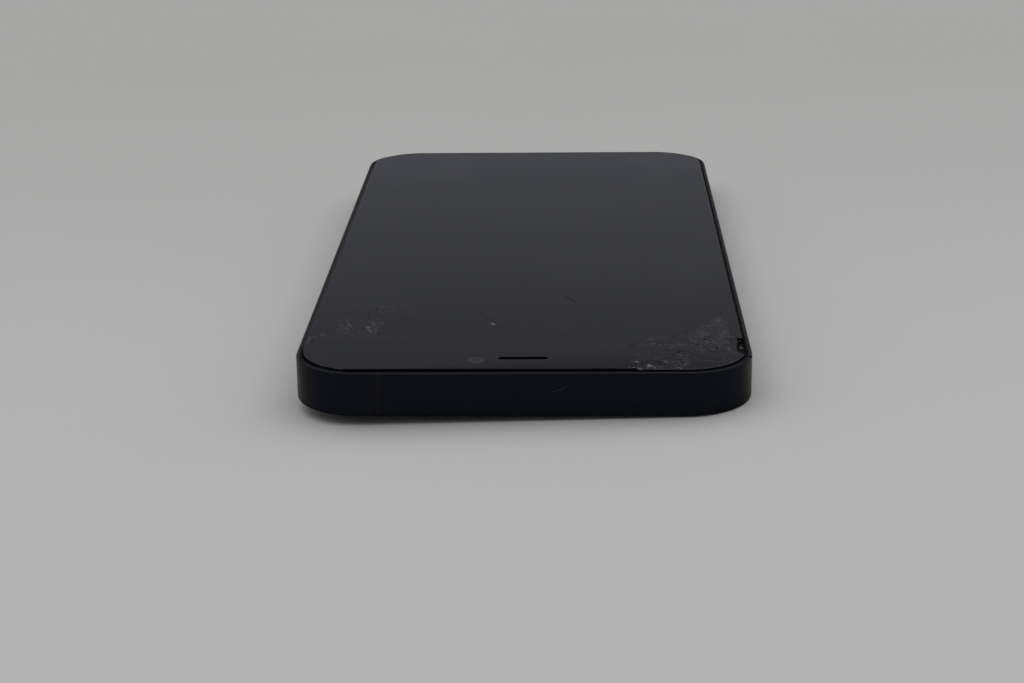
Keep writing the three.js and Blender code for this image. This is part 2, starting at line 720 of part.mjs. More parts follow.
function addLens(parent, name, y) {
  const chamfer = LENS_RING_H / 4;
  const seat = plateauZ - FIT / 2;
  const neckR = lensBoreR + LENS_NECK;
  const ring = turned(
    [
      [lensBoreR, 0],
      [LENS_R - chamfer, 0],
      [LENS_R, chamfer],
      [LENS_R, seat],
      [neckR, seat],
      [neckR, rearGlassTop],
      [lensBoreR, rearGlassTop],
    ],
    RING_STEPS,
  );
  piece(parent, `lens_ring_${name}`, solid(ring), materials.steel, lensX, y);
  const cover = prism(circle(lensBoreR - FIT), 0, LENS_COVER_T, RING_STEPS);
  piece(parent, `lens_cover_${name}`, cover, materials.lens, lensX, y, LENS_COVER_IN);
  const housing = prism(roundedRect(cameraSide, cameraSide, CAMERA_CORNER_R), floor, cameraTop, 2);
  const barrel = prism(circle(BARREL_R), LENS_COVER_IN + LENS_COVER_T + FIT, floor + FIT, RING_STEPS / 2);
  piece(parent, `rear_camera_${name}`, join(housing, barrel), materials.black, lensX, y);
}

function addRear(parent) {
  piece(parent, "rear_glass", rearGlassSolid(), materials.rearGlass);
  addLens(parent, "main", mainLensY);
  addLens(parent, "wide", wideLensY);
  const bracketShape = roundedRect(cameraSide, lensPitch + cameraSide, CAMERA_CORNER_R);
  const bracket = prism(bracketShape, 0, BRACKET_T, 2);
  piece(parent, "camera_bracket", bracket, materials.steel, lensX, plateauY, cameraTop + FIT);
  const flash = prism(circle(FLASH_R), plateauZ + FIT / 2, rearGlassTop, RING_STEPS / 2);
  piece(parent, "flash_lens", flash, materials.flash, flashX, mainLensY);
  const coil = prism(ringOutline(COIL_R, COIL_BORE_R), 0, COIL_T, RING_STEPS);
  piece(parent, "charging_coil", coil, materials.copper, 0, 0, midplateBottom);
  const magnets = prism(ringOutline(MAGNET_R, MAGNET_R - MAGNET_W), 0, MAGNET_T, RING_STEPS);
  piece(parent, "magnet_ring", magnets, materials.steel, 0, 0, midplateBottom);
}

// Buttons

function buttonSolid(length) {
  const flangeFront = roomX + POCKET_DEPTH - SLIP;
  const flangeBack = flangeFront - FLANGE_T;
  const plungerEnd = roomX - FIT + BUTTON_TRAVEL + FIT;
  const wing = length / 2 + BUTTON_WING;
  return join(
    prismX(oblong(length, BUTTON_H), flangeFront - FLANGE_T / 2, sideX + BUTTON_PROUD),
    box(flangeBack, flangeFront, -wing, wing, -BUTTON_H / 2, BUTTON_H / 2),
    prismX(circle(PLUNGER_R), plungerEnd, flangeFront - FLANGE_T / 2, HOLE_STEPS),
  );
}

function muteSolid() {
  const flangeFront = roomX + POCKET_DEPTH - SLIP;
  const wing = MUTE_L / 2 + BUTTON_WING;
  const cap = roundedRect(MUTE_L - 2 * FLANGE_T, MUTE_H, MUTE_H / 3);
  return join(
    prismX(cap, flangeFront - FLANGE_T / 2, sideX + MUTE_PROUD, 3),
    box(flangeFront - FLANGE_T, flangeFront, -wing, wing, -MUTE_H / 2, MUTE_H / 2),
  );
}

function addButtons(parent) {
  const keyNames = ["power_key", "volume_up_key", "volume_down_key"];
  const keyTop = buttonZ + BUTTON_H / 2;
  buttons.forEach(({ name, length, y, turn }, i) => {
    piece(parent, name, buttonSolid(length), materials.frame, 0, y, buttonZ).rotation.z = turn;
    const key = box(roomX - FIT - KEY_T, roomX - FIT, -KEY_L / 2, KEY_L / 2, floor, keyTop);
    piece(parent, keyNames[i], key, materials.black, 0, y).rotation.z = turn;
  });
  const muteRest = (MUTE_SLOT_H - MUTE_H) / 2 - SLIP;
  piece(parent, "mute_switch", muteSolid(), materials.frame, 0, MUTE_FROM_END - endY, buttonZ - muteRest);
}

// SIM tray and reader

function addTray(parent) {
  const doorBack = sideX - DOOR_T;
  const halfW = TRAY_W / 2;
  const halfT = TRAY_T / 2;
  const innerEnd = roomX - TRAY_L;
  const cardEnd = innerEnd + (TRAY_W - CARD_W) / 2;
  const tray = cut(
    join(
      prismX(oblong(DOOR_W, DOOR_H), doorBack, sideX - SLIP / 4),
      box(innerEnd, doorBack + DOOR_T / 2, -halfW, halfW, -halfT, halfT),
    ),
    box(cardEnd, cardEnd + CARD_L, -CARD_W / 2, CARD_W / 2, -1, 1),
    prismX(circle(EJECT_R), doorBack - 1, sideX + 1, HOLE_STEPS).translate(0, DOOR_H / 2 - DOOR_W / 2, 0),
  );
  piece(parent, "sim_tray", tray, materials.frame, 0, trayY, trayZ);
  const tunnelY = halfW + SLIP;
  const tunnelZ = halfT + SLIP;
  const back = innerEnd - SLIP - READER_WALL;
  const reader = cut(
    solid(box(back, roomX - FIT, -readerHalf, readerHalf, -tunnelZ - READER_WALL, tunnelZ + READER_WALL)),
    box(innerEnd - SLIP, roomX + 1, -tunnelY, tunnelY, -tunnelZ, tunnelZ),
  );
  piece(parent, "sim_reader", reader, materials.steel, 0, trayY, trayZ);
}

// Inner parts

// A block that fills a stretch of the inner room and follows its corners.
function roomBlock(x0, x1, y0, y1, z0, z1) {
  const room = solid(prism(phoneOutline(WALL + FIT), z0, z1, 8));
  return room.intersect(solid(box(x0, x1, y0, y1, z0 - 1, z1 + 1)));
}

function shieldSolid(x0, x1, y0, y1) {
  const top = ceiling - SHIELD_HEADROOM;
  const inner = [x0 + SHIELD_WALL, x1 - SHIELD_WALL, y0 + SHIELD_WALL, y1 - SHIELD_WALL];
  return cut(solid(box(x0, x1, y0, y1, onBoard, top)), box(...inner, onBoard - 1, top - SHIELD_WALL));
}

function addBoard(parent) {
  const footLeft = lensX + cameraSide / 2 + PART_GAP;
  const footEnd = batteryStart - PART_GAP;
  const outline = new THREE.Shape([
    new THREE.Vector2(boardRight, boardStart),
    new THREE.Vector2(boardRight, boardEnd),
    new THREE.Vector2(boardLeft, boardEnd),
    new THREE.Vector2(boardLeft, footEnd),
    new THREE.Vector2(footLeft, footEnd),
    new THREE.Vector2(footLeft, boardStart),
  ]);
  piece(parent, "logic_board", prism(outline, floor, boardTop), materials.board);
  const left = boardLeft + SHIELD_INSET;
  const right = boardRight - SHIELD_INSET;
  const upperEnd = trayY - readerHalf - PART_GAP;
  const flexStart = trayY + readerHalf + PART_GAP;
  const lowerStart = flexStart + FLEX_W + PART_GAP;
  const upper = shieldSolid(left, right, boardStart + SHIELD_INSET, upperEnd);
  piece(parent, "board_shield_upper", upper, materials.steel);
  const lower = shieldSolid(left, right, lowerStart, boardEnd - SHIELD_INSET);
  piece(parent, "board_shield_lower", lower, materials.steel);
  addDisplayFlex(parent, (left + right) / 2, flexStart);
}

// The ribbon from the board up to the back of the display panel.
function addDisplayFlex(parent, x, y) {
  const rise = ceiling - onBoard;
  const ribbon = new THREE.Shape();
  ribbon.moveTo(0, 0);
  ribbon.lineTo(FLEX_W, 0);
  ribbon.lineTo(FLEX_W, rise);
  ribbon.lineTo(FLEX_W / 3, rise);
  ribbon.lineTo(FLEX_W / 3, rise - FLEX_T);
  ribbon.lineTo(FLEX_W - FLEX_T, rise - FLEX_T);
  ribbon.lineTo(FLEX_W - FLEX_T, FLEX_T);
  ribbon.lineTo(0, FLEX_T);
  ribbon.closePath();
  const width = BOARD_W / 2;
  const geometry = prism(ribbon, -width / 2, width / 2).applyMatrix4(towardsX);
  piece(parent, "display_flex", geometry, materials.copper, x, y, onBoard);
}

function addBattery(parent) {
  const left = KEY_ROOM - roomX;
  const right = boardLeft - PART_GAP;
  const shape = roundedRect(right - left, boardEnd - batteryStart, BATTERY_R);
  const battery = roundedPlate(shape, floor, ceiling - BATTERY_HEADROOM, BATTERY_R / 3, 3, 2);
  piece(parent, "battery", battery, materials.black, (left + right) / 2, (batteryStart + boardEnd) / 2);
}

function addTopRow(parent) {
  const rowStart = FIT - roomY;
  const rowEnd = boardStart - PART_GAP;
  const snoutTop = panelTop;
  const cameraRight = FRONT_CAMERA_X + FRONT_CAMERA / 2;
  const camera = join(
    box(cameraRight - FRONT_CAMERA, cameraRight, rowStart, rowStart + FRONT_CAMERA, floor, ceiling),
    prism(circle(FRONT_CAMERA_R), ceiling - FIT, snoutTop, 8).translate(FRONT_CAMERA_X, rowStart + FRONT_CAMERA / 2, 0),
  );
  piece(parent, "front_camera", camera, materials.black);
  const speakerLeft = cameraRight + PART_GAP;
  const speakerRight = speakerLeft + 1.6 * EARPIECE_W;
  const snout = prism(oblong(EARPIECE_W * 0.8, EARPIECE_H), ceiling - FIT, snoutTop);
  const speaker = join(
    box(speakerLeft, speakerRight, rowStart, rowEnd, floor, ceiling),
    snout.translate(speakerLeft + EARPIECE_W / 2, earpieceY, 0),
  );
  piece(parent, "earpiece_speaker", speaker, materials.black);
  const sensorLeft = speakerRight + PART_GAP;
  const sensorRight = Math.min(sensorLeft + 2 * FRONT_CAMERA, straightX);
  const sensor = box(sensorLeft, sensorRight, rowStart, rowStart + FRONT_CAMERA, floor, ceiling);
  piece(parent, "face_sensor", sensor, materials.black);
}

function addBottomRow(parent) {
  const rowStart = bottomPartStart;
  const speaker = roomBlock(-roomX, -bottomPartX, rowStart, bottomPartEnd, floor, ceiling - BATTERY_HEADROOM);
  piece(parent, "loudspeaker", speaker, materials.black);
  const motorStart = rowStart + PART_GAP;
  const motorRight = roomX - 3 * PART_GAP;
  const motorEnd = bottomPartEnd - 3 * PART_GAP;
  const motor = roomBlock(bottomPartX, motorRight, motorStart, motorEnd, floor, ceiling - BATTERY_HEADROOM);
  piece(parent, "vibration_motor", motor, materials.steel);

  const socketBack = roomY - FIT - SOCKET_L;
  const socketFront = roomY - FIT;
  const shell = oblong(PORT_W + 2 * SOCKET_WALL, PORT_H + 2 * SOCKET_WALL);
  const socket = cut(
    solid(prismY(shell, socketBack, socketFront, 8)),
    prismY(oblong(PORT_W, PORT_H), socketBack + 2 * SOCKET_WALL, socketFront + 1, 8),
  );
  piece(parent, "charge_socket", socket, materials.steel, 0, 0, portZ);

  const flexStart = boardEnd + PART_GAP;
  const flexEnd = socketBack - PART_GAP;
  const flexTurn = flexStart + FLEX_W / 2;
  const flexRight = (boardLeft + boardRight) / 2;
  const ribbon = new THREE.Shape([
    new THREE.Vector2(-FLEX_W / 2, flexStart),
    new THREE.Vector2(flexRight, flexStart),
    new THREE.Vector2(flexRight, flexTurn),
    new THREE.Vector2(FLEX_W / 2, flexTurn),
    new THREE.Vector2(FLEX_W / 2, flexEnd),
    new THREE.Vector2(-FLEX_W / 2, flexEnd),
  ]);
  piece(parent, "dock_flex", prism(ribbon, floor, floor + FLEX_T), materials.copper);

  const meshHalf = 2 * GRILLE_R;
  addMesh(parent, "speaker_mesh", speakerPlaces, meshHalf);
  addMesh(parent, "microphone_mesh", micPlaces, meshHalf);
  addScrew(parent, "bottom_screw_left", -screwX);
  addScrew(parent, "bottom_screw_right", screwX);
}

function addMesh(parent, name, places, half) {
  const left = Math.min(...places) - half;
  const right = Math.max(...places) + half;
  const back = roomY - FIT - MESH_T;
  const geometry = box(left, right, back, roomY - FIT, portZ - half, portZ + half);
  piece(parent, name, geometry, materials.black);
}

function addScrew(parent, name, x) {
  const head = endY - SCREW_HEAD_L;
  const face = endY - SLIP / 2;
  const lobes = 5;
  const star = new THREE.Shape(
    Array.from({ length: 4 * lobes }, (_, i) => {
      const turn = (i / (4 * lobes)) * Math.PI * 2;
      const radius = SCREW_HEAD_R * (0.5 + 0.14 * Math.cos(lobes * turn));
      return new THREE.Vector2(radius * Math.cos(turn), radius * Math.sin(turn));
    }),
  );
  const screw = cut(
    join(
      prismY(circle(SCREW_HEAD_R), head, face, HOLE_STEPS),
      prismY(circle(SCREW_R), face - SCREW_L, head + SLIP, HOLE_STEPS),
    ),
    prismY(star, endY - SCREW_HEAD_L / 2, endY + 1),
  );
  piece(parent, name, screw, materials.steel, x, 0, portZ);
}

const phone = new THREE.Group();
const shellGroup = new THREE.Group();
const screenGroup = new THREE.Group();
const innerGroup = new THREE.Group();
phone.add(shellGroup, screenGroup, innerGroup);
addFrame(shellGroup);
addRear(shellGroup);
addButtons(shellGroup);
addTray(shellGroup);
addScreen(screenGroup);
addBoard(innerGroup);
addBattery(innerGroup);
addTopRow(innerGroup);
addBottomRow(innerGroup);

export default phone;
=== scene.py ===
# Looks for a smartphone with a shattered screen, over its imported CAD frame.
import json
import math

import bmesh
import bpy
import numpy as np
from mathutils import Matrix, Vector


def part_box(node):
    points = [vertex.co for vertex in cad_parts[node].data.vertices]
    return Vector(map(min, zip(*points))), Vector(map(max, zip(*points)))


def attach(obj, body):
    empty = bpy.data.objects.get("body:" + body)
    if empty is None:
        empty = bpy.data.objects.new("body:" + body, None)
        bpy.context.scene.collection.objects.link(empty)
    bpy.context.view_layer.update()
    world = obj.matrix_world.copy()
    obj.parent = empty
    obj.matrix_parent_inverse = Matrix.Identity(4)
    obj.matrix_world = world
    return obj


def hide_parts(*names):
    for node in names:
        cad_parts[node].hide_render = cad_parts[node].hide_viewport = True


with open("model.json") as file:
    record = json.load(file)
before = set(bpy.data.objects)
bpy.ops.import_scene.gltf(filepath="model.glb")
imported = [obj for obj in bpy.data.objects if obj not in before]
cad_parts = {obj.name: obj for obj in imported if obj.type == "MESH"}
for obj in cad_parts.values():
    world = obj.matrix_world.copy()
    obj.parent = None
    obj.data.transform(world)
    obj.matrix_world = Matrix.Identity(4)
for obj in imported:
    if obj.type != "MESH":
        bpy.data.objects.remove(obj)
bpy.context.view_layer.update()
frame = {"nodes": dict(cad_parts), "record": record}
scene = bpy.context.scene
mm = 0.001


def metres(values):
    return [value * mm for value in values]


# Shader maths: a socket whose arithmetic adds Math nodes
class Shade:
    def __init__(self, tree, socket):
        self.tree = tree
        self.socket = socket

    # Any node: its type, its settings, which are made first, then values or links for its sockets
    def node(self, kind, settings=None, inputs=None, out=0):
        made = self.tree.nodes.new("ShaderNode" + kind)
        for key, value in (settings or {}).items():
            if key == "stops":
                for _ in range(len(value) - 2):
                    made.color_ramp.elements.new(0.5)
                for stop, (place, colour) in zip(made.color_ramp.elements, value):
                    stop.position = place
                    stop.color = opaque(colour)
            else:
                setattr(made, key, value)
        for key, value in (inputs or {}).items():
            self.feed(made.inputs[key], value)
        return Shade(self.tree, made.outputs[out])

    def feed(self, socket, value):
        if isinstance(value, Shade):
            self.tree.links.new(value.socket, socket)
        else:
            socket.default_value = value

    def math(self, operation, *values):
        return self.node("Math", {"operation": operation}, dict(enumerate(values)))

    def __add__(self, other):
        return self.math("ADD", self, other)

    def __sub__(self, other):
        return self.math("SUBTRACT", self, other)

    def __rsub__(self, other):
        return self.math("SUBTRACT", other, self)

    def __mul__(self, other):
        return self.math("MULTIPLY", self, other)

    def __truediv__(self, other):
        return self.math("DIVIDE", self, other)

    def __pow__(self, other):
        return self.math("POWER", self, other)

    __radd__ = __add__
    __rmul__ = __mul__

    # 0 below low and 1 above high, eased between; low above high turns it round
    def ease(self, low, high):
        inputs = {"Value": self, "From Min": low, "From Max": high}
        return self.node("MapRange", {"interpolation_type": "SMOOTHSTEP"}, inputs)

    # One colour where the value is 0 and the other where it is 1
    def blend(self, low, high):
        return self.node("Mix", {"data_type": "RGBA"}, {0: self, 6: opaque(low), 7: opaque(high)}, out=2)

    def axis(self, name):
        return self.node("SeparateXYZ", None, {0: self}, out=name)

    def noise(self, size, detail=3.0, rough=0.55):
        inputs = {"Vector": self, "Scale": 1 / size, "Detail": detail, "Roughness": rough}
        return self.node("TexNoise", None, inputs)

    # Distance in the plan from a point, in metres
    def awayFrom(self, x, y):
        dx = self.axis("X") - x
        dy = self.axis("Y") - y
        return (dx * dx + dy * dy) ** 0.5

    def bump(self, strength, depth):
        inputs = {"Height": self, "Strength": strength, "Distance": depth}
        return self.node("Bump", None, inputs)


def opaque(colour):
    return (*colour, 1) if isinstance(colour, tuple) and len(colour) == 3 else colour


# A Principled finish: fixed socket values here, varying ones from paint(coords), a dict of sockets.
# Where the dict has Dull, the finish goes over to a black without gloss.
def newFinish(name, fixed, paint):
    finish = bpy.data.materials.new(name)
    finish.use_nodes = True
    tree = finish.node_tree
    shader = tree.nodes["Principled BSDF"]
    for key, value in fixed.items():
        shader.inputs[key].default_value = opaque(value)
    coords = Shade(tree, tree.nodes.new("ShaderNodeTexCoord").outputs["Object"])
    sockets = paint(coords)
    dull = sockets.pop("Dull", None)
    for key, value in sockets.items():
        coords.feed(shader.inputs[key], opaque(value))
    if dull is not None:
        black = coords.node("BsdfDiffuse", None, {"Color": (0.0022, 0.0022, 0.0026, 1)})
        both = coords.node("MixShader", None, {0: dull, 1: Shade(tree, shader.outputs[0]), 2: black})
        coords.feed(tree.nodes["Material Output"].inputs["Surface"], both)
    return finish


# Mesh tools

# Rows by columns of points, joined into quads; ring closes each row on itself, and caps fills both ends
def gridMesh(name, points, ring=False, caps=False):
    rows, cols = points.shape[:2]
    index = np.arange(rows * cols).reshape(rows, cols)
    if ring:
        index = np.concatenate([index, index[:, :1]], axis=1)
    quads = np.stack([index[:-1, :-1], index[:-1, 1:], index[1:, 1:], index[1:, :-1]], axis=-1)
    faces = quads.reshape(-1, 4).tolist()
    if caps:
        faces += [index[0, :cols][::-1].tolist(), index[-1, :cols].tolist()]
    mesh = bpy.data.meshes.new(name)
    mesh.from_pydata(points.reshape(-1, 3).tolist(), [], faces)
    return mesh


# A new piece that rides on a body and takes the finish it is given
def addPiece(name, mesh, finish, body="housing", smooth=True, stands=()):
    mesh.materials.clear()
    mesh.materials.append(finish)
    mesh.polygons.foreach_set("use_smooth", np.full(len(mesh.polygons), smooth))
    piece = bpy.data.objects.new(name, mesh)
    scene.collection.objects.link(piece)
    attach(piece, body)
    if stands:
        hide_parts(*stands)
    return piece


# A CAD node's own form, welded so that its rounds shade smoothly
def smoothNode(node, finish, body="housing", angle=38):
    mesh = frame["nodes"][node].data.copy()
    welded = bmesh.new()
    welded.from_mesh(mesh)
    bmesh.ops.remove_doubles(welded, verts=welded.verts, dist=0.002 * mm)
    welded.to_mesh(mesh)
    welded.free()
    if "custom_normal" in mesh.attributes:
        mesh.attributes.remove(mesh.attributes["custom_normal"])
    piece = addPiece(node + "_skin", mesh, finish, body, stands=[node])
    mesh.set_sharp_from_angle(angle=math.radians(angle))
    even = piece.modifiers.new("even normals", "WEIGHTED_NORMAL")
    even.keep_sharp = True
    even.weight = 100
    return piece


# Camera, floor and light

cameraSettings = {
    "lens": 73.53,  # on a sensor 36 mm wide
    "place": (8.12, -373.61, 113.36),
    "yaw": -1.828,
    "pitch": 18.341,
    "roll": -0.715,
}


def addCamera():
    yaw, pitch, roll = (math.radians(cameraSettings[key]) for key in ("yaw", "pitch", "roll"))
    ahead = Vector((math.sin(yaw) * math.cos(pitch), math.cos(yaw) * math.cos(pitch), -math.sin(pitch)))
    level = Vector((math.cos(yaw), -math.sin(yaw), 0))
    rise = level.cross(ahead)
    right = level * math.cos(roll) + rise * math.sin(roll)
    up = rise * math.cos(roll) - level * math.sin(roll)
    turn = Matrix((right, up, -ahead)).transposed().to_4x4()
    data = bpy.data.cameras.new("camera")
    data.lens = cameraSettings["lens"]
    data.clip_start = 0.01
    camera = bpy.data.objects.new("camera", data)
    camera.matrix_world = Matrix.Translation(Vector(cameraSettings["place"]) * mm) @ turn
    scene.collection.objects.link(camera)
    scene.camera = camera


floorSettings = {
    "near": (0.508, 0.508, 0.506),
    "far": (0.42, 0.416, 0.41),
    "fade": (-0.16, 0.24),  # Y between the two; painted light: the floor is lighter near the camera and darker behind the phone
    "mottle": 0.2,
    "mottleSize": 0.09,
    "reach": 4.0,
    "ringEdge": -30.77,  # lowest outer edge of the lens rings
    "frameEdge": (35.3, 1.65),  # rear edge on the other side
}


# The phone leans on its lens rings and one rear edge, so the floor is turned about Y to meet both
def addFloor():
    def paint(coords):
        mottle = floorSettings["mottle"] * (coords.noise(floorSettings["mottleSize"], 4) - 0.5)
        # painted light: the floor's colour goes from the lighter near colour to the darker far colour along
        # Y; the mottle is the floor's own tone
        fade = coords.axis("Y").ease(*floorSettings["fade"]) + mottle
        return {"Base Color": fade.blend(floorSettings["near"], floorSettings["far"])}

    edgeX, edgeZ = floorSettings["frameEdge"]
    slope = edgeZ / (edgeX - floorSettings["ringEdge"])
    span = np.linspace(-1, 1, 9) * floorSettings["reach"]
    x, y = np.meshgrid(span, span)
    points = np.stack([x, y, slope * (x - floorSettings["ringEdge"] * mm)], axis=-1)
    mesh = gridMesh("floor", points)
    mesh.materials.append(newFinish("pale floor", {"Roughness": 0.75, "Specular IOR Level": 0.3}, paint))
    floor = bpy.data.objects.new("floor", mesh)
    scene.collection.objects.link(floor)


lightSettings = {
    "overhead": {"place": (0, 0.4, 1.1), "size": 2.4, "power": 11.6},
    # Levels by half the sine of the height, plus a half: the dome all round, and the dim patch behind the
    # phone, which its screen mirrors
    "dome": [(0.0, 0.43), (0.5, 0.43), (0.53, 0.62), (1.0, 0.68)],
    "domeTint": (1.0, 1.0, 1.0),
    "front": 0.47,  # share of the dome that is left on the camera's side
    "frontFade": (0.1, -0.6),  # Y of the aim where that begins and is complete
    "dim": [(0.5, 0.42), (0.57, 0.4), (0.6, 0.24), (0.62, 0.187), (0.68, 0.126), (0.8, 0.12), (1.0, 0.2)],
    "dimTint": (0.965, 0.99, 1.13),
    "dimSide": (0.86, 0.965),  # cosine of the bearing from Y, across the soft side
    "dimTop": (0.8, 0.5),  # sine of the height, across the soft top
}


def addLight():
    settings = lightSettings["overhead"]
    data = bpy.data.lights.new("overhead", "AREA")
    data.size = settings["size"]
    data.energy = settings["power"]
    lamp = bpy.data.objects.new("overhead", data)
    lamp.location = settings["place"]
    scene.collection.objects.link(lamp)
    world = bpy.data.worlds.new("studio")
    scene.world = world
    world.use_nodes = True
    tree = world.node_tree
    aim = Shade(tree, tree.nodes.new("ShaderNodeTexCoord").outputs["Generated"])
    sine = aim.axis("Z")
    height = sine * 0.5 + 0.5
    levels = {}
    for name in ("dome", "dim"):
        tint = lightSettings[name + "Tint"]
        stops = [(place, tuple(level * c for c in tint)) for place, level in lightSettings[name]]
        levels[name] = height.node("ValToRGB", {"stops": stops}, {"Fac": height})
    behind = aim.axis("Y") / (1.0001 - sine * sine) ** 0.5
    patch = behind.ease(*lightSettings["dimSide"]) * sine.ease(*lightSettings["dimTop"])
    weaker = aim.axis("Y").ease(*lightSettings["frontFade"])
    background = tree.nodes["Background"].inputs
    aim.feed(background["Color"], patch.blend(levels["dome"], levels["dim"]))
    aim.feed(background["Strength"], 1 - (1 - lightSettings["front"]) * weaker)


addCamera()
addFloor()
addLight()
scene.view_settings.view_transform = "Standard"
print("camera, floor and light are set")


# Finishes

low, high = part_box("cover_glass")
glass = {"x": high[0] / mm, "y": -low[1] / mm, "corner": 9.5, "top": high[2] / mm, "thick": 0.5}

anodised = {
    "deep": (0.0095, 0.0108, 0.0165),
    "bright": (0.0125, 0.014, 0.022),
    "scuff": (0.045, 0.048, 0.055),
    "scratch": ((4.4, 5.6), (7.0, 6.6)),  # x and z of its ends on the earpiece end face
    "endFace": (-73.2, -73.3),
    "nicked": (8.35, 8.55),  # heights on the upper edge
    "sideSheen": ((34.9, 35.2), (8.25, 8.4)),  # how far out and how high the painted sheen on the long sides reaches
}


def anodisedPaint(coords):
    cloud = coords.noise(0.012, 3)
    blast = coords.noise(0.09 * mm, 2)
    x, y, z = (coords.axis(name) for name in "XYZ")
    (x0, z0), (x1, z1) = anodised["scratch"]
    along = (x / mm - x0) / (x1 - x0)
    across = z / mm - (z0 + (z1 - z0) * 0.6) - 0.45 * (along * along - along) - (z1 - z0) * (along - 0.6)
    line = across.math("ABSOLUTE", across).ease(0.1, 0.02)
    scratch = line * along.ease(0, 0.15) * along.ease(1, 0.8) * y.ease(*metres(anodised["endFace"]))
    nicks = coords.noise(0.7 * mm, 4).ease(0.74, 0.8) * z.ease(*metres(anodised["nicked"])) * 0.35
    # painted sheen: the upper edges of the long sides get the lighter scuff colour, as if they mirrored
    # more light; the scratch and nicks are real wear
    out, up = (metres(reach) for reach in anodised["sideSheen"])
    sideSheen = x.math("ABSOLUTE", x).ease(*out) * z.ease(*up) * 0.5
    wearAndSheen = scratch.math("MAXIMUM", scratch * 0.8, nicks.math("MAXIMUM", nicks, sideSheen))
    colour = wearAndSheen.blend(cloud.blend(anodised["deep"], anodised["bright"]), anodised["scuff"])
    return {
        "Base Color": colour,
        "Roughness": 0.3 + 0.1 * blast + 0.15 * wearAndSheen,
        "Normal": (blast - 0.4 * wearAndSheen).bump(0.12, 0.01 * mm),
    }


frontGlass = {
    "ink": (0.0022, 0.0022, 0.0026),
    "smear": (0.0042, 0.0042, 0.0046),
    "camera": (-7.25, -67.7),
    "cameraGlass": (0.025, 0.025, 0.028),
    "coolFrost": (0.29, 0.275, 0.33),
    "warmFrost": (0.32, 0.31, 0.26),
    "edge": (0.02, 0.003),  # depths at which the turned edge is black with painted shade, and still like the face
    "sideEdge": 0.65,  # share of that painted shade along the long sides
    "border": (0.65, 0.4),  # width of the black band of painted shade at both ends, with and without its soft side
    # painted shade on the glass towards the earpiece end, on the broken side
    "shadeArea": {"level": 0.22, "x": (-16, 6), "y": (-61, -71)},
}


# Painted shade that dulls the glass's reflection towards the earpiece end, on the broken side
def paintedShadeArea(coords):
    shadeArea = frontGlass["shadeArea"]
    side = coords.axis("X").ease(*metres(shadeArea["x"]))
    return shadeArea["level"] * side * coords.axis("Y").ease(*metres(shadeArea["y"]))


# Broken glass carries how frosted, how open and how warm in colour each of its points is
def brokenGlassPaint(coords):
    frost = coords.node("Attribute", {"attribute_name": "frost"}, out="Fac")
    gap = coords.node("Attribute", {"attribute_name": "gap"}, out="Fac")
    warm = coords.node("Attribute", {"attribute_name": "warm"}, out="Fac")
    smear = coords.noise(0.02, 5, 0.6).ease(0.45, 0.75)
    dust = coords.noise(0.35 * mm, 2).ease(0.77, 0.83)
    grit = coords.noise(0.14 * mm, 3).ease(0.3, 0.7)
    fromCamera = coords.awayFrom(*metres(frontGlass["camera"]))
    window = fromCamera.ease(1.5 * mm, 1.35 * mm) * (1 - 0.5 * fromCamera.ease(0.75 * mm, 0.6 * mm))
    colour = smear.blend(frontGlass["ink"], frontGlass["smear"])
    colour = window.blend(colour, frontGlass["cameraGlass"])
    bright = frost * (0.6 + 0.8 * grit) + 0.012 * dust
    colour = bright.blend(colour, warm.blend(frontGlass["coolFrost"], frontGlass["warmFrost"]))
    return {
        "Base Color": colour,
        "Roughness": 0.06 + 0.05 * smear + 0.5 * frost.ease(0, 0.5) * grit + 0.04 * dust,
        "Normal": (grit * frost.ease(0, 0.3)).bump(0.35, 0.03 * mm),
        "Dull": gap.math("MAXIMUM", gap, paintedShadeArea(coords)),
    }


# The sheet that stayed whole: the same glass, black with painted shade where its edge turns down at both
# ends, partly so along the long sides, and in a thin band at both ends
def frontGlassPaint(coords):
    sockets = brokenGlassPaint(coords)
    low, high = (glass["top"] - depth for depth in frontGlass["edge"])
    y = coords.axis("Y")
    ends = y.math("ABSOLUTE", y)
    share = frontGlass["sideEdge"]
    black = share + (1 - share) * ends.ease(60 * mm, 65 * mm)
    turned = coords.axis("Z").ease(high * mm, low * mm) * black
    # painted shade: a thin black band along both ends of the glass
    border = ends.ease(*metres(glass["y"] - width for width in frontGlass["border"]))
    sockets["Dull"] = y.math("MAXIMUM", sockets["Dull"], y.math("MAXIMUM", turned, border))
    return sockets


def crumbPaint(coords):
    shine = coords.node("Attribute", {"attribute_name": "shine"}, out="Fac")
    return {
        "Base Color": shine.blend((0.02, 0.021, 0.02), (0.52, 0.53, 0.52)),
        "Roughness": 0.12 + 0.25 * coords.noise(0.2 * mm, 2),
    }


rearGlass = {
    "deep": (0.004, 0.0085, 0.022),
    "bright": (0.006, 0.0125, 0.031),
    "scuff": (0.3, 0.3, 0.32),
}


def rearGlassPaint(coords):
    smear = coords.noise(0.016, 5, 0.62).ease(0.4, 0.8)
    # the colour goes lighter along Y, from the earpiece end to the far end
    depth = coords.axis("Y").ease(-0.09, 0.09)
    scuff = coords.noise(0.5 * mm, 3).ease(0.76, 0.84)
    colour = depth.blend(rearGlass["deep"], rearGlass["bright"])
    return {
        "Base Color": (scuff * 0.05).blend(colour, rearGlass["scuff"]),
        "Roughness": 0.07 + 0.1 * smear + 0.2 * scuff,
    }


def plainPaint(low, high, rough, size, depth, strength=0.2):
    def paint(coords):
        grain = coords.noise(size, 4)
        return {
            "Base Color": grain.blend(low, high),
            "Roughness": rough + 0.16 * (grain - 0.5),
            "Normal": grain.bump(strength, depth),
        }
    return paint


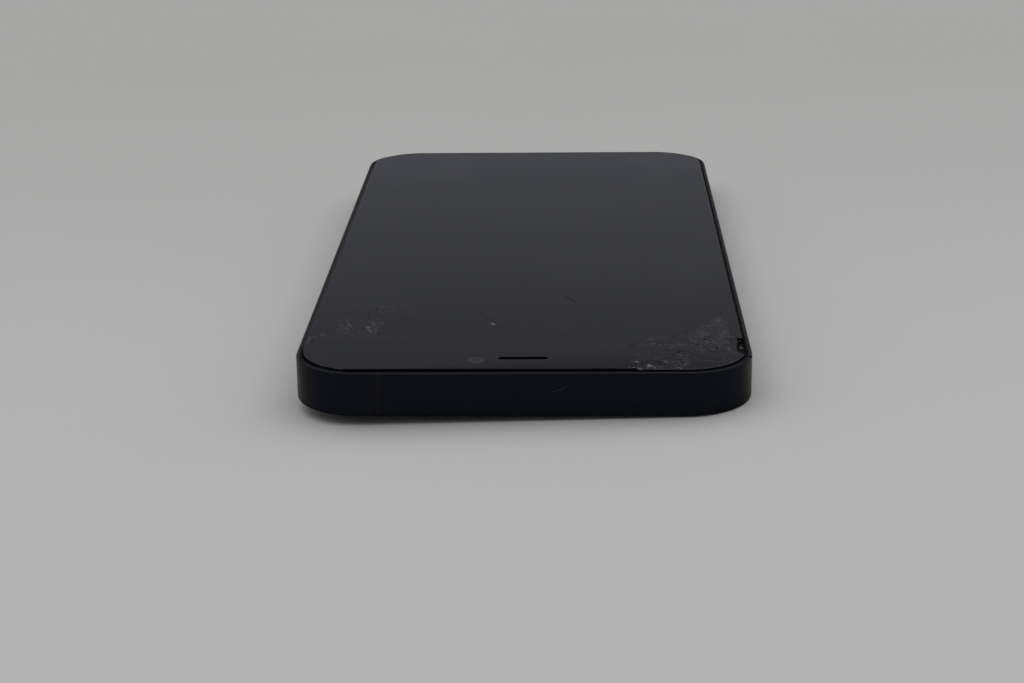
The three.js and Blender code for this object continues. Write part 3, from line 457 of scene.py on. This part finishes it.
# Black plastic, lighter and less dull in the gap along the left side
def bezelPaint(coords):
    sockets = plainPaint((0.0022,) * 3, (0.0036,) * 3, 0.6, 0.3 * mm, 0.01 * mm)(coords)
    y = coords.axis("Y")
    lighterLeftGap = coords.axis("X").ease(-34 * mm, -34.4 * mm) * y.math("ABSOLUTE", y).ease(64 * mm, 57 * mm)
    sockets["Base Color"] = lighterLeftGap.blend(sockets["Base Color"], (0.022, 0.022, 0.022))
    return {**sockets, "Dull": 0.8 - 0.7 * lighterLeftGap}


# Brushed along Y: the noise is stretched that way
def brushedPaint(low, high, rough):
    def paint(coords):
        long = coords.node("Mapping", None, {"Vector": coords, "Scale": (1, 0.05, 1)})
        grain = long.noise(0.12 * mm, 3)
        return {
            "Base Color": grain.blend(low, high),
            "Roughness": rough + 0.2 * (grain - 0.5),
            "Normal": grain.bump(0.15, 0.01 * mm),
        }
    return paint


# A woven mesh: open squares between wires, turned to lie across the slot
def meshPaint(coords):
    x, y, z = (coords.axis(name) / (0.16 * mm) for name in "XYZ")
    weave = x.math("SINE", x * math.pi) * x.math("SINE", (y + z) * math.pi)
    wire = weave.math("ABSOLUTE", weave).ease(0.45, 0.2)
    return {
        "Base Color": wire.blend((0.002, 0.002, 0.002), (0.05, 0.05, 0.052)),
        "Roughness": 0.75 - 0.25 * wire,
        "Normal": wire.bump(0.6, 0.04 * mm),
    }


def boardPaint(coords):
    squares = {"feature": "F1", "distance": "CHEBYCHEV"}
    chips = coords.node("TexVoronoi", squares, {"Vector": coords, "Scale": 330.0})
    tracks = coords.noise(0.6 * mm, 2)
    pads = chips.ease(0.34, 0.3) * tracks.ease(0.42, 0.5)
    laminate = tracks.blend((0.006, 0.019, 0.013), (0.012, 0.034, 0.023))
    return {
        "Base Color": pads.blend(laminate, (0.03, 0.03, 0.032)),
        "Roughness": 0.5 - 0.15 * pads,
        "Normal": pads.bump(0.5, 0.1 * mm),
    }


# Fine rings about the flash's own middle
def flashPaint(coords):
    low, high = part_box("flash_lens")
    away = coords.awayFrom((low[0] + high[0]) / 2, (low[1] + high[1]) / 2)
    rings = away.math("SINE", away / (0.07 * mm))
    core = away.ease(1.5 * mm, 0.9 * mm)
    return {
        "Base Color": core.blend((0.62, 0.6, 0.54), (0.7, 0.55, 0.2)),
        "Roughness": 0.2 + 0.1 * rings,
        "Normal": rings.bump(0.4, 0.05 * mm),
    }


finishes = {
    "anodised": newFinish(
        "anodised frame", {"Metallic": 1.0, "Specular Tint": (0.7, 0.68, 0.63)}, anodisedPaint),
    "frontGlass": newFinish("front glass", {"IOR": 1.5}, frontGlassPaint),
    "brokenGlass": newFinish("broken glass", {"IOR": 1.5}, brokenGlassPaint),
    "crumb": newFinish("crushed glass", {"IOR": 1.5}, crumbPaint),
    "rearGlass": newFinish("rear glass", {"IOR": 1.5, "Coat Weight": 0.4}, rearGlassPaint),
    "bezel": newFinish("bezel plastic", {}, bezelPaint),
    "strip": newFinish("antenna plastic", {"Specular IOR Level": 0.12}, plainPaint(
        (0.0044, 0.005, 0.0068), (0.0052, 0.0059, 0.008), 0.55, 0.25 * mm, 0.01 * mm)),
    "module": newFinish("module black", {}, plainPaint(
        (0.012,) * 3, (0.02,) * 3, 0.55, 0.5 * mm, 0.03 * mm)),
    "steel": newFinish("stamped steel", {"Metallic": 1.0}, brushedPaint(
        (0.4, 0.41, 0.42), (0.52, 0.53, 0.55), 0.35)),
    "ring": newFinish("lens ring", {"Metallic": 1.0}, brushedPaint(
        (0.016, 0.021, 0.036), (0.025, 0.031, 0.05), 0.22)),
    "copper": newFinish("copper", {"Metallic": 1.0}, brushedPaint(
        (0.45, 0.2, 0.1), (0.6, 0.3, 0.16), 0.4)),
    "mesh": newFinish("woven mesh", {"Metallic": 0.6}, meshPaint),
    "board": newFinish("circuit board", {}, boardPaint),
    "flash": newFinish("flash diffuser", {"IOR": 1.5, "Coat Weight": 0.5}, flashPaint),
    "optics": newFinish("lens optics", {"IOR": 1.6, "Coat Weight": 1.0, "Coat Roughness": 0.03}, plainPaint(
        (0.0025, 0.0022, 0.004), (0.0035, 0.003, 0.007), 0.12, 2 * mm, 0.005 * mm, 0.05)),
}

# CAD nodes by the slot the record gives them
slotFinish = {
    "anodised_frame": "anodised",
    "strip_plastic": "strip",
    "cover_glass": "frontGlass",
    "broken_glass": "brokenGlass",
    "rear_glass": "rearGlass",
    "bezel_plastic": "bezel",
    "lens_glass": "optics",
    "lens_ring_metal": "ring",
    "flash_plastic": "flash",
    "module_black": "module",
    "mesh_metal": "mesh",
    "steel": "steel",
    "board_laminate": "board",
    "copper": "copper",
}

slotOf = {part["node"]: part["material_slot"] for part in frame["record"]["subparts"]}
for node, piece in frame["nodes"].items():
    piece.data.materials.clear()
    piece.data.materials.append(finishes["bezel" if node == "display_panel" else slotFinish[slotOf[node]]])
print("finishes are on", len(frame["nodes"]), "nodes")

# Nodes whose rounds show: first those of the housing, then those that move
fixedNodes = ("frame", "cover_glass", "rear_glass", "lens_ring_main", "lens_ring_wide", "charge_socket",
              "flash_lens")
movingNodes = ("power_button", "volume_up_button", "volume_down_button", "mute_switch", "sim_tray")
for node in fixedNodes:
    smoothNode(node, finishes[slotFinish[slotOf[node]]])
for node in movingNodes:
    smoothNode(node, finishes["anodised"], body=node)
print("rounds are smoothed")


# Broken glass

# Damage as seen from above, in mm. A zone is a convex outline, then its soft edge's width, frost, warmth,
# how much more than elsewhere its facets lean, and its small facets in each square mm. A stroke is a run of
# points with a width and a level: above 0 it is frosted and below 0 it is open.
cornerDamage = {
    "seed": 11,
    "area": (15.5, 34.75, -72.4, -44),
    "facets": 120,
    "lean": 0.15,
    "seam": 0.05,
    "seamDark": 0.85,
    "warmth": 0.5,
    "zones": [
        ([(32.8, -57.5), (32.6, -44.0), (28.1, -51.9), (26.4, -57.2)], 0.35, 0.045, 0.6, 2, 0.3),
        ([(31.1, -56.0), (26.6, -56.2), (26.6, -60.0), (28.2, -64.4), (30.8, -64.2)],
         0.9, 0.016, 0.95, 8, 3.5),
        ([(32.6, -57.0), (30.8, -57.0), (30.6, -64.2), (32.4, -64.0)], 0.6, 0.04, 0.45, 5, 2),
        ([(24.8, -68.8), (16.9, -68.0), (16.2, -72.2), (24.8, -72.2)], 0.6, 0.012, 0.6, 8, 5),
        ([(22.6, -63.6), (17.4, -64.0), (16.6, -69.8), (22.6, -69.8)], 1.6, 0.018, 0.8, 3, 1),
        ([(26.0, -64.0), (22.8, -65.4), (22.6, -71.0), (25.8, -70.6)], 0.7, 0.026, 0.0, 6, 2),
        ([(33.2, -64.0), (30.4, -64.2), (30.4, -69.8), (33.2, -68.6)], 0.9, 0.022, 0.0, 3, 1),
    ],
    "strokes": [
        ([(19.4, -68.5), (20.4, -68.4), (21.4, -67.9), (22.6, -67.2), (23.4, -66.0), (24.6, -63.9)],
         0.15, -0.8),
        ([(24.3, -63.6), (25.4, -64.0)], 0.24, -0.9),
        ([(25.3, -52.4), (26.0, -54.9)], 0.16, -0.8),
        ([(26.8, -56.5), (26.85, -57.6)], 0.22, -0.9),
        ([(23.4, -56.2), (24.2, -56.5)], 0.22, -0.7),
        ([(22.9, -57.8), (22.7, -59.2)], 0.14, -0.5),
        ([(16.7, -60.6), (17.3, -61.2)], 0.28, -0.8),
        ([(18.5, -64.9), (18.8, -65.6)], 0.2, -0.35),
        ([(20.3, -62.2), (20.7, -62.9)], 0.2, -0.35),
        ([(27.5, -62.7), (30.5, -61.3)], 0.12, -0.4),
        ([(29.2, -51.8), (29.9, -56.0)], 0.1, -0.4),
        ([(30.6, -50.5), (30.9, -56.0)], 0.08, -0.3),
        ([(28.6, -56.5), (28.5, -58.3)], 0.14, -0.7),
        ([(29.4, -57.0), (29.6, -58.6)], 0.1, -0.5),
        ([(32.2, -57.4), (32.8, -57.8), (33.5, -57.7)], 0.24, -1.0),
        ([(32.5, -58.6), (33.1, -60.2)], 0.2, -0.7),
        ([(19.3, -70.2), (19.6, -70.9)], 0.3, 1.0),
        ([(17.4, -68.5), (17.8, -69.1)], 0.2, 0.4),
        ([(17.0, -71.5), (17.9, -72.0)], 0.3, 0.4),
        ([(21.8, -68.4), (22.2, -69.3)], 0.25, 0.3),
        ([(25.5, -69.0), (24.7, -70.9)], 0.16, 0.2),
        ([(20.0, -71.3), (20.4, -71.7)], 0.2, 0.4),
        ([(23.6, -71.6), (24.1, -71.8)], 0.2, 0.35),
        ([(32.2, -61.9), (32.1, -62.7)], 0.2, 0.3),
        ([(28.1, -51.6), (28.9, -53.2)], 0.4, 0.05),
        ([(28.9, -58.5), (29.1, -59.8)], 0.2, 0.12),
    ],
}

leftDamage = {
    "seed": 5,
    "area": (-34.5, -16.6, -60.4, -38.4),
    "facets": 40,
    "lean": 0.06,
    "seam": 0.03,
    "seamDark": 0.25,
    "warmth": 0.0,
    "zones": [
        ([(-28.0, -47.0), (-30.2, -47.0), (-30.8, -55.6), (-28.2, -55.6)], 1.4, 0.012, 0.0, 12, 2),
        ([(-23.4, -47.4), (-25.8, -47.4), (-26.8, -55.6), (-23.2, -55.6)], 1.4, 0.012, 0.0, 12, 2),
        ([(-22.6, -39.4), (-26.4, -40.2), (-26.4, -47.0), (-24.0, -47.0)], 1.6, 0.006, 0.0, 8, 1.5),
    ],
    "strokes": [
        ([(-29.4, -47.2), (-29.2, -48.6), (-28.8, -49.8), (-28.3, -50.8)], 0.26, 0.14),
        ([(-25.6, -51.4), (-25.3, -52.2), (-24.9, -53.5)], 0.3, 0.22),
        ([(-25.2, -47.5), (-24.7, -50.0), (-24.0, -51.0)], 0.14, 0.1),
        ([(-30.3, -51.8), (-30.3, -53.0), (-30.1, -54.5)], 0.14, 0.09),
        ([(-28.9, -51.5), (-28.6, -53.4), (-29.6, -55.4)], 0.14, 0.1),
        ([(-26.9, -52.0), (-26.6, -54.9)], 0.12, 0.08),
        ([(-24.3, -52.0), (-23.9, -55.3)], 0.14, 0.1),
        ([(-32.7, -54.6), (-32.4, -55.6)], 0.3, 0.12),
        ([(-34.4, -59.1), (-34.45, -57.4), (-34.3, -56.5), (-33.8, -56.1), (-33.2, -56.6)], 0.22, 0.13),
        ([(-34.1, -57.3), (-33.4, -57.6)], 0.16, -0.6),
        ([(-33.8, -58.8), (-33.4, -58.9)], 0.16, -0.5),
        ([(-27.4, -43.2), (-26.6, -45.5)], 0.12, 0.05),
        ([(-22.5, -40.0), (-22.1, -42.8)], 0.3, 0.03),
        ([(-33.8, -46.8), (-30.2, -47.4)], 0.16, 0.03),
        ([(-25.1, -40.6), (-24.9, -43.0)], 0.15, -0.7),
        ([(-25.8, -45.8), (-25.7, -46.5)], 0.26, -0.7),
        ([(-26.1, -43.6), (-25.9, -44.6)], 0.15, -0.5),
        ([(-24.9, -43.6), (-24.9, -45.2)], 0.1, -0.4),
        ([(-23.9, -41.0), (-23.6, -41.8)], 0.24, -0.4),
        ([(-19.5, -45.8), (-19.3, -47.4)], 0.18, -0.45),
        ([(-29.7, -47.8), (-29.5, -48.6)], 0.2, -0.7),
        ([(-23.4, -50.1), (-23.2, -50.8)], 0.15, -0.4),
        ([(-29.2, -55.0), (-28.6, -55.4)], 0.15, -0.4),
        ([(-23.6, -53.4), (-23.5, -55.2)], 0.15, -0.5),
    ],
}

middleDamage = {
    "seed": 8,
    "area": (-9.2, -1.2, -55.4, -41.4),
    "facets": 12,
    "lean": 0.03,
    "seam": 0.03,
    "seamDark": 0.25,
    "warmth": 0.2,
    "zones": [
        ([(-4.9, -49.0), (-5.7, -49.0), (-5.6, -50.4), (-4.8, -50.4)], 0.5, 0.02, 0.5, 60, 6),
    ],
    "strokes": [
        ([(-5.4, -49.3), (-5.2, -50.0)], 0.22, 0.55),
        ([(-7.8, -42.8), (-7.2, -44.2)], 0.12, -0.5),
        ([(-6.6, -45.6), (-6.1, -47.2)], 0.12, -0.45),
        ([(-5.0, -50.6), (-4.4, -51.6)], 0.14, -0.65),
        ([(-3.4, -52.8), (-2.4, -53.9)], 0.12, -0.5),
    ],
}

brokenCorner = {
    "impact": (33.75, -60.0),
    "rays": [(95.3, 15.8), (126, 10), (154, 11.5), (180, 17), (206, 18.5), (234, 20), (292, 22)],
    "ring": 0.52,
    "bend": 0.07,
    "lost": [(3, 3.4), (0.85, 2.6), (0.1, 3), (-0.15, -0.1), (-0.4, -1.9), (-0.4, -3.8), (0.6, -5.3),
             (3, -5.6)],
    "sweepEnd": 288,  # turn of the last row, as the first ray is that of the first
    "leastReach": 0.25,
    "crack": 0.065,  # half of the gap between shards
    "crackDepth": 0.012,
    "seamDepth": 0.012,
    "lift": 0.012,  # over the sheet that stayed whole
    "fade": 0.8,  # width of the flat rim
    "overlap": 0.12,
    "edgeRound": 0.2,
    "grid": (440, 200),
}

crackedPatch = {
    "step": 0.075,
    "lift": (0.003, 0.012),  # over the sheet, at the rim and inside
    "fade": 3,  # width of the rise between the two
    "deepest": -0.008,
    "rooted": 0.1,  # how far the skin reaches down into the sheet
}


def cross2(a, b):
    return a[..., 0] * b[..., 1] - a[..., 1] * b[..., 0]


# Distance from the middle to a chain of points, in the direction of each angle
def chainReach(points, angles):
    points = np.asarray(points, float)
    turns = np.unwrap(np.arctan2(points[:, 1], points[:, 0]))
    turns += 2 * np.pi * np.round((angles.mean() - turns.mean()) / (2 * np.pi))
    i = np.clip(np.searchsorted(turns, angles) - 1, 0, len(points) - 2)
    aim = np.stack([np.cos(angles), np.sin(angles)], axis=-1)
    side = points[i + 1] - points[i]
    return cross2(points[i], side) / cross2(aim, side)


# How far outside the rounded glass outline a point lies, less than 0 inside
def outsideGlass(x, y):
    qx = np.abs(x) - glass["x"] + glass["corner"]
    qy = np.abs(y) - glass["y"] + glass["corner"]
    beyond = np.hypot(np.maximum(qx, 0), np.maximum(qy, 0))
    return beyond + np.minimum(np.maximum(qx, qy), 0) - glass["corner"]


# Cracks of the solids about the impact: the outer rim, the first ray, and every run as starts and ends
def crackNetwork():
    rays = np.array(brokenCorner["rays"], float)
    number = np.arange(len(rays))

    def along(share):
        wander = 1 + brokenCorner["bend"] * np.sin(5 * number + 7 * share)
        turn = np.radians(rays[:, 0])
        return np.stack([np.cos(turn), np.sin(turn)], axis=-1) * (rays[:, 1] * share * wander)[:, None]

    def step(a, b, side):
        run = b - a
        return a + 0.5 * run + brokenCorner["bend"] * side * np.stack([-run[:, 1], run[:, 0]], axis=-1)

    def withSteps(points):
        chain = np.empty((2 * len(rays) - 1, 2))
        flip = np.where(number[:-1] % 2, 1, -1)[:, None]
        chain[0::2], chain[1::2] = points, step(points[:-1], points[1:], flip)
        return chain

    inner, middle, outer = along(0.06), along(brokenCorner["ring"]), along(1)
    ring, rim = withSteps(middle), withSteps(outer)
    spokes = np.stack([inner, step(inner, middle, 1), middle, step(middle, outer, 1), outer], axis=1)
    starts = np.concatenate([spokes[:, :-1].reshape(-1, 2), ring[:-1]])
    ends = np.concatenate([spokes[:, 1:].reshape(-1, 2), ring[1:]])
    return rim, spokes[0], starts, ends


# Least distance from each point to any of the straight runs
def nearRuns(points, starts, ends):
    run = ends - starts
    share = np.einsum("pad,ad->pa", points[:, None] - starts[None], run) / (run ** 2).sum(1)
    share = np.clip(share, 0, 1)
    gap = points[:, None] - (starts[None] + share[..., None] * run[None])
    return np.sqrt((gap ** 2).sum(-1)).min(1)


# 1 inside a convex outline and 0 outside, eased over a soft edge
def zoneShare(points, corners, soft):
    corners = np.array(corners, float)
    side = np.roll(corners, -1, axis=0) - corners
    inward = np.stack([-side[:, 1], side[:, 0]], axis=-1) / np.hypot(*side.T)[:, None]
    inward *= np.sign(cross2(corners, np.roll(corners, -1, axis=0)).sum())
    depth = ((points[:, None] - corners[None]) * inward[None]).sum(-1).min(1)
    return np.clip(depth / soft + 0.5, 0, 1)


# Height, frost, gap, warmth and crush of cracked glass at points in the plan. Each facet is the plane
# through its nearest seed, leaning its own way.
def crackedGlass(points, damage):
    rng = np.random.default_rng(damage["seed"])
    x0, x1, y0, y1 = damage["area"]
    seeds = [rng.uniform((x0, y0), (x1, y1), (damage["facets"], 2))]
    for corners, soft, _, _, _, small in damage["zones"]:
        low, high = np.min(corners, axis=0), np.max(corners, axis=0)
        spots = rng.uniform(low, high, (int(np.prod(high - low) * small), 2))
        seeds.append(spots[zoneShare(spots, corners, soft) > 0.5])
    seeds = np.concatenate(seeds)
    square = (points ** 2).sum(1)[:, None] + (seeds ** 2).sum(1) - 2 * points @ seeds.T
    pair = np.argpartition(square, 1, axis=1)[:, :2]
    away = np.sqrt(np.maximum(np.take_along_axis(square, pair, axis=1), 0))
    own = pair[:, 0]
    ownShare = rng.uniform(0.3, 1, len(seeds))[own]

    frost, warm, steep = np.zeros(len(points)), np.full(len(points), damage["warmth"]), np.ones(len(points))
    for corners, soft, level, warmth, more, _ in damage["zones"]:
        share = zoneShare(points, corners, soft)
        frost = np.maximum(frost, share * level * ownShare)
        warm += share * (warmth - warm)
        steep = np.maximum(steep, 1 + share * (more - 1))
    crushed = np.clip((steep - 2.5) / 5, 0, 1)
    gap = crushed * damage["seamDark"] * np.clip(1 - (away[:, 1] - away[:, 0]) / (2 * damage["seam"]), 0, 1)
    x, y = points.T
    wavy = points + 0.1 * np.stack([np.sin(6.1 * y + 2 * np.sin(3.3 * x)), np.sin(7.3 * x)], axis=-1)
    broken = np.clip(0.6 + 0.5 * np.sin(9 * x + 4 * np.sin(5 * y)) + 0.3 * np.sin(13 * y + 3 * x), 0, 1)
    for run, width, level in damage["strokes"]:
        run = np.array(run, float)
        near = np.clip(1.5 - nearRuns(wavy, run[:-1], run[1:]) / width, 0, 1) * broken * abs(level)
        if level > 0:
            frost = np.maximum(frost, near)
        else:
            gap = np.maximum(gap, near)
    lean = np.tan(np.radians(rng.normal(0, damage["lean"], (len(seeds), 2))))[own]
    height = np.clip(steep * (lean * (points - seeds[own])).sum(1), -0.1, 0.05)
    return height, frost, gap, warm, crushed


# A skin from rows of points on its top. Each row also runs back along the underside, so the skin is closed.
# The underside's two points a row have level 0.
def addGlassSkin(name, top, underside, levels, stands=()):
    under = top[:, [-1, 0]].copy()
    under[..., 2] = underside
    mesh = gridMesh(name, np.concatenate([top, under], axis=1) * mm, ring=True, caps=True)
    for key, level in levels.items():
        padded = np.pad(level.reshape(top.shape[:2]), [(0, 0), (0, 2)])
        mesh.attributes.new(key, "FLOAT", "POINT").data.foreach_set("value", padded.ravel())
    addPiece(name, mesh, finishes["brokenGlass"], smooth=False, stands=stands)


# A polar grid about the impact, from the lost glass out to the break's rim or the edge of the glass
def addBrokenCorner():
    impact = np.array(brokenCorner["impact"])
    rim, firstRay, starts, ends = crackNetwork()
    rows, cols = brokenCorner["grid"]
    turn = np.radians(np.linspace(brokenCorner["rays"][0][0], brokenCorner["sweepEnd"], rows))
    aim = np.stack([np.cos(turn), np.sin(turn)], axis=-1)
    nearest = np.maximum(chainReach(brokenCorner["lost"], turn), brokenCorner["leastReach"])
    furthest = chainReach(rim, turn) + brokenCorner["overlap"]
    low, high = np.zeros(rows), np.full(rows, 40.0)
    for _ in range(40):
        half = (low + high) / 2
        spot = impact + aim * half[:, None]
        inside = outsideGlass(spot[:, 0], spot[:, 1]) < 0
        low, high = np.where(inside, half, low), np.where(inside, high, half)
    furthest = np.maximum(np.minimum(furthest, low), nearest + 0.02)
    reach = nearest[:, None] + np.linspace(0, 1, cols) * (furthest - nearest)[:, None]

    # The first rows bend with the first ray
    rayTurn = np.arctan2(firstRay[:, 1], firstRay[:, 0])
    shift = np.interp(reach, np.hypot(*firstRay.T), rayTurn) - turn[0] - brokenCorner["overlap"] / reach
    bent = turn[:, None] + shift * np.clip(1 - (turn - turn[0]) / 0.35, 0, 1)[:, None]
    plan = np.stack([np.cos(bent), np.sin(bent)], axis=-1) * reach[..., None]
    flat = plan.reshape(-1, 2)
    place = flat + impact

    height, frost, gap, warm, crushed = crackedGlass(place, cornerDamage)
    dashed = np.clip(0.5 + np.sin(2.1 * place[:, 0] + 2 * np.sin(1.3 * place[:, 1])), 0, 1)
    opening = np.clip(1.5 - nearRuns(flat, starts, ends) / brokenCorner["crack"], 0, 1)
    big = opening * (0.3 + 0.35 * dashed + 0.2 * crushed)
    gap = np.maximum(gap, big)
    fade = np.clip((furthest[:, None] - reach).ravel() / brokenCorner["fade"], 0, 1)
    sunk = brokenCorner["seamDepth"] * gap + brokenCorner["crackDepth"] * big
    height = (height - sunk) * fade + brokenCorner["lift"]
    rounding = brokenCorner["edgeRound"]
    inset = np.clip(-outsideGlass(place[:, 0], place[:, 1]), 0, rounding)
    height -= rounding - np.sqrt(rounding ** 2 - (rounding - inset) ** 2)
    # painted shade: the rounded edge of the broken glass is marked as gap, so it goes black unless it is
    # frosted
    gap = np.maximum(gap, np.clip(1.2 - 1.2 * inset / rounding, 0, 1) * (frost < 0.2))

    top = np.concatenate([place, (glass["top"] + height)[:, None]], axis=1).reshape(rows, cols, 3)
    levels = {"frost": frost, "gap": gap, "warm": warm}
    shards = ["glass_shard_%d" % i for i in range(1, 13)]
    addGlassSkin("shattered_corner", top, glass["top"] - glass["thick"], levels, shards)


# A thin cracked skin over a part of the sheet that stayed whole
def addCrackedPatch(name, damage):
    x0, x1, y0, y1 = damage["area"]
    step = crackedPatch["step"]
    x, y = np.meshgrid(np.arange(x0, x1, step), np.arange(y0, y1, step))
    place = np.stack([x, y], axis=-1).reshape(-1, 2)
    height, frost, gap, warm, _ = crackedGlass(place, damage)
    rim = np.minimum.reduce([x - x.min(), x.max() - x, y - y.min(), y.max() - y])
    rise = np.clip(rim / crackedPatch["fade"], 0, 1)
    rise = rise * rise * (3 - 2 * rise)
    lowest, lift = crackedPatch["lift"]
    height = lowest + (lift - lowest + np.maximum(height.reshape(x.shape), crackedPatch["deepest"])) * rise
    top = np.stack([x, y, glass["top"] + height], axis=-1)
    levels = {"frost": frost, "gap": gap, "warm": warm}
    addGlassSkin(name, top, glass["top"] - crackedPatch["rooted"], levels)


addBrokenCorner()
addCrackedPatch("cracked_left", leftDamage)
addCrackedPatch("cracked_middle", middleDamage)
print("broken glass is made")


# Crushed glass that still sticks in the breaks

crumbs = {
    "seed": 23,
    "rooted": 0.06,  # how far their feet reach down into the glass
    "inset": 0.15,  # from the edge of the glass
    "groups": [  # x, y, spread along x and y, count, size range, shine range
        (20.4, -70.4, 2.6, 0.9, 44, (0.12, 0.36), (0.0, 0.08)),
        (17.4, -71.4, 0.5, 0.3, 7, (0.2, 0.45), (0.2, 0.5)),
        (19.6, -70.6, 0.4, 0.3, 7, (0.2, 0.5), (0.5, 1.0)),
        (23.8, -71.4, 0.4, 0.3, 5, (0.2, 0.4), (0.1, 0.4)),
        (24.4, -68.6, 1.0, 1.4, 18, (0.12, 0.35), (0.0, 0.12)),
        (29.4, -58.8, 1.2, 2.0, 26, (0.12, 0.34), (0.0, 0.08)),
        (32.2, -62.0, 0.3, 0.5, 6, (0.15, 0.35), (0.05, 0.3)),
        (34.15, -62.6, 0.12, 0.4, 3, (0.4, 0.8), (0.0, 0.0)),
        (34.1, -58.6, 0.12, 0.5, 2, (0.3, 0.6), (0.0, 0.0)),
        (-29.2, -48.6, 0.5, 0.9, 7, (0.1, 0.22), (0.04, 0.2)),
        (-25.2, -52.2, 0.4, 0.8, 8, (0.1, 0.25), (0.04, 0.3)),
        (-33.8, -56.6, 0.2, 0.4, 4, (0.1, 0.25), (0.05, 0.25)),
        (-5.3, -49.7, 0.12, 0.25, 3, (0.15, 0.3), (0.3, 0.8)),
    ],
}


# Each crumb is a low four-sided splinter: three corners on the glass and a tip, turned and scaled
def addCrumbs():
    rng = np.random.default_rng(crumbs["seed"])
    centres, sizes, shines = [], [], []
    for x, y, spreadX, spreadY, count, sizeRange, shineRange in crumbs["groups"]:
        centres.append((x, y) + rng.normal(0, 1, (count, 2)) * (spreadX, spreadY))
        sizes.append(rng.uniform(*sizeRange, count))
        shines.append(rng.uniform(*shineRange, count))
    centres, sizes, shines = np.concatenate(centres), np.concatenate(sizes), np.concatenate(shines)
    kept = outsideGlass(centres[:, 0], centres[:, 1]) < -crumbs["inset"]
    centres, sizes, shines = centres[kept], sizes[kept], shines[kept]
    count = len(centres)
    turn = rng.uniform(0, 2 * np.pi, (count, 1)) + np.array((0, 2.2, 4.1))
    stretch = rng.uniform(0.35, 1, (count, 3))
    foot = np.stack([np.cos(turn), np.sin(turn)], axis=-1) * (stretch * sizes[:, None] * 0.6)[..., None]
    tip = rng.normal(0, 0.2, (count, 1, 2)) * sizes[:, None, None]
    plan = np.concatenate([foot, tip], axis=1) + centres[:, None]
    height = np.full((count, 4), -crumbs["rooted"])
    height[:, 3] = sizes * rng.uniform(0.1, 0.32, count)
    points = np.concatenate([plan, (glass["top"] + height)[..., None]], axis=-1)
    corner = np.array(((0, 1, 3), (1, 2, 3), (2, 0, 3), (0, 2, 1)))
    faces = (np.arange(count)[:, None, None] * 4 + corner).reshape(-1, 3)
    mesh = bpy.data.meshes.new("crushed_glass")
    mesh.from_pydata((points.reshape(-1, 3) * mm).tolist(), [], faces.tolist())
    mesh.attributes.new("shine", "FLOAT", "POINT").data.foreach_set("value", np.repeat(shines, 4))
    addPiece("crushed_glass", mesh, finishes["crumb"], smooth=False)


addCrumbs()
print("crushed glass is made")


# Camera optics behind the two rear lens covers

optics = {
    # radius and depth behind the ring face, from the cover's edge in to the middle of the lens
    "profile": [(4.8, 0.7), (4.8, 0.22), (4.2, 0.2), (3.1, 0.2), (3.0, 0.26), (2.6, 0.5), (2.45, 0.5),
                (2.4, 0.42), (2.0, 0.42), (1.95, 0.55), (1.6, 0.52), (1.2, 0.42), (0.7, 0.35), (0.0, 0.32)],
    "steps": 72,
    "sharp": 40,  # degrees between faces that meet in an edge
}


# The profile is turned about the lens axis; the back is closed at its first point
def addOptics(node):
    low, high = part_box(node)
    middle = np.array([(low[0] + high[0]) / 2, (low[1] + high[1]) / 2])
    profile = np.array([(0, optics["profile"][0][1]), *optics["profile"]]) * mm
    turn = np.linspace(0, 2 * np.pi, optics["steps"], endpoint=False)
    ring = np.stack([np.cos(turn), np.sin(turn)], axis=-1)
    plan = middle + profile[:, None, :1] * ring[None]
    depth = np.broadcast_to(profile[:, None, 1:], plan.shape[:2] + (1,))
    mesh = gridMesh(node + "_optics", np.concatenate([plan, depth], axis=-1), ring=True)
    poles = bmesh.new()
    poles.from_mesh(mesh)
    bmesh.ops.remove_doubles(poles, verts=poles.verts, dist=0.001 * mm)
    bmesh.ops.recalc_face_normals(poles, faces=poles.faces)
    poles.to_mesh(mesh)
    poles.free()
    addPiece(node + "_optics", mesh, finishes["optics"], stands=[node])
    mesh.set_sharp_from_angle(angle=math.radians(optics["sharp"]))


for node in ("lens_cover_main", "lens_cover_wide"):
    addOptics(node)
print("rear lenses are made")
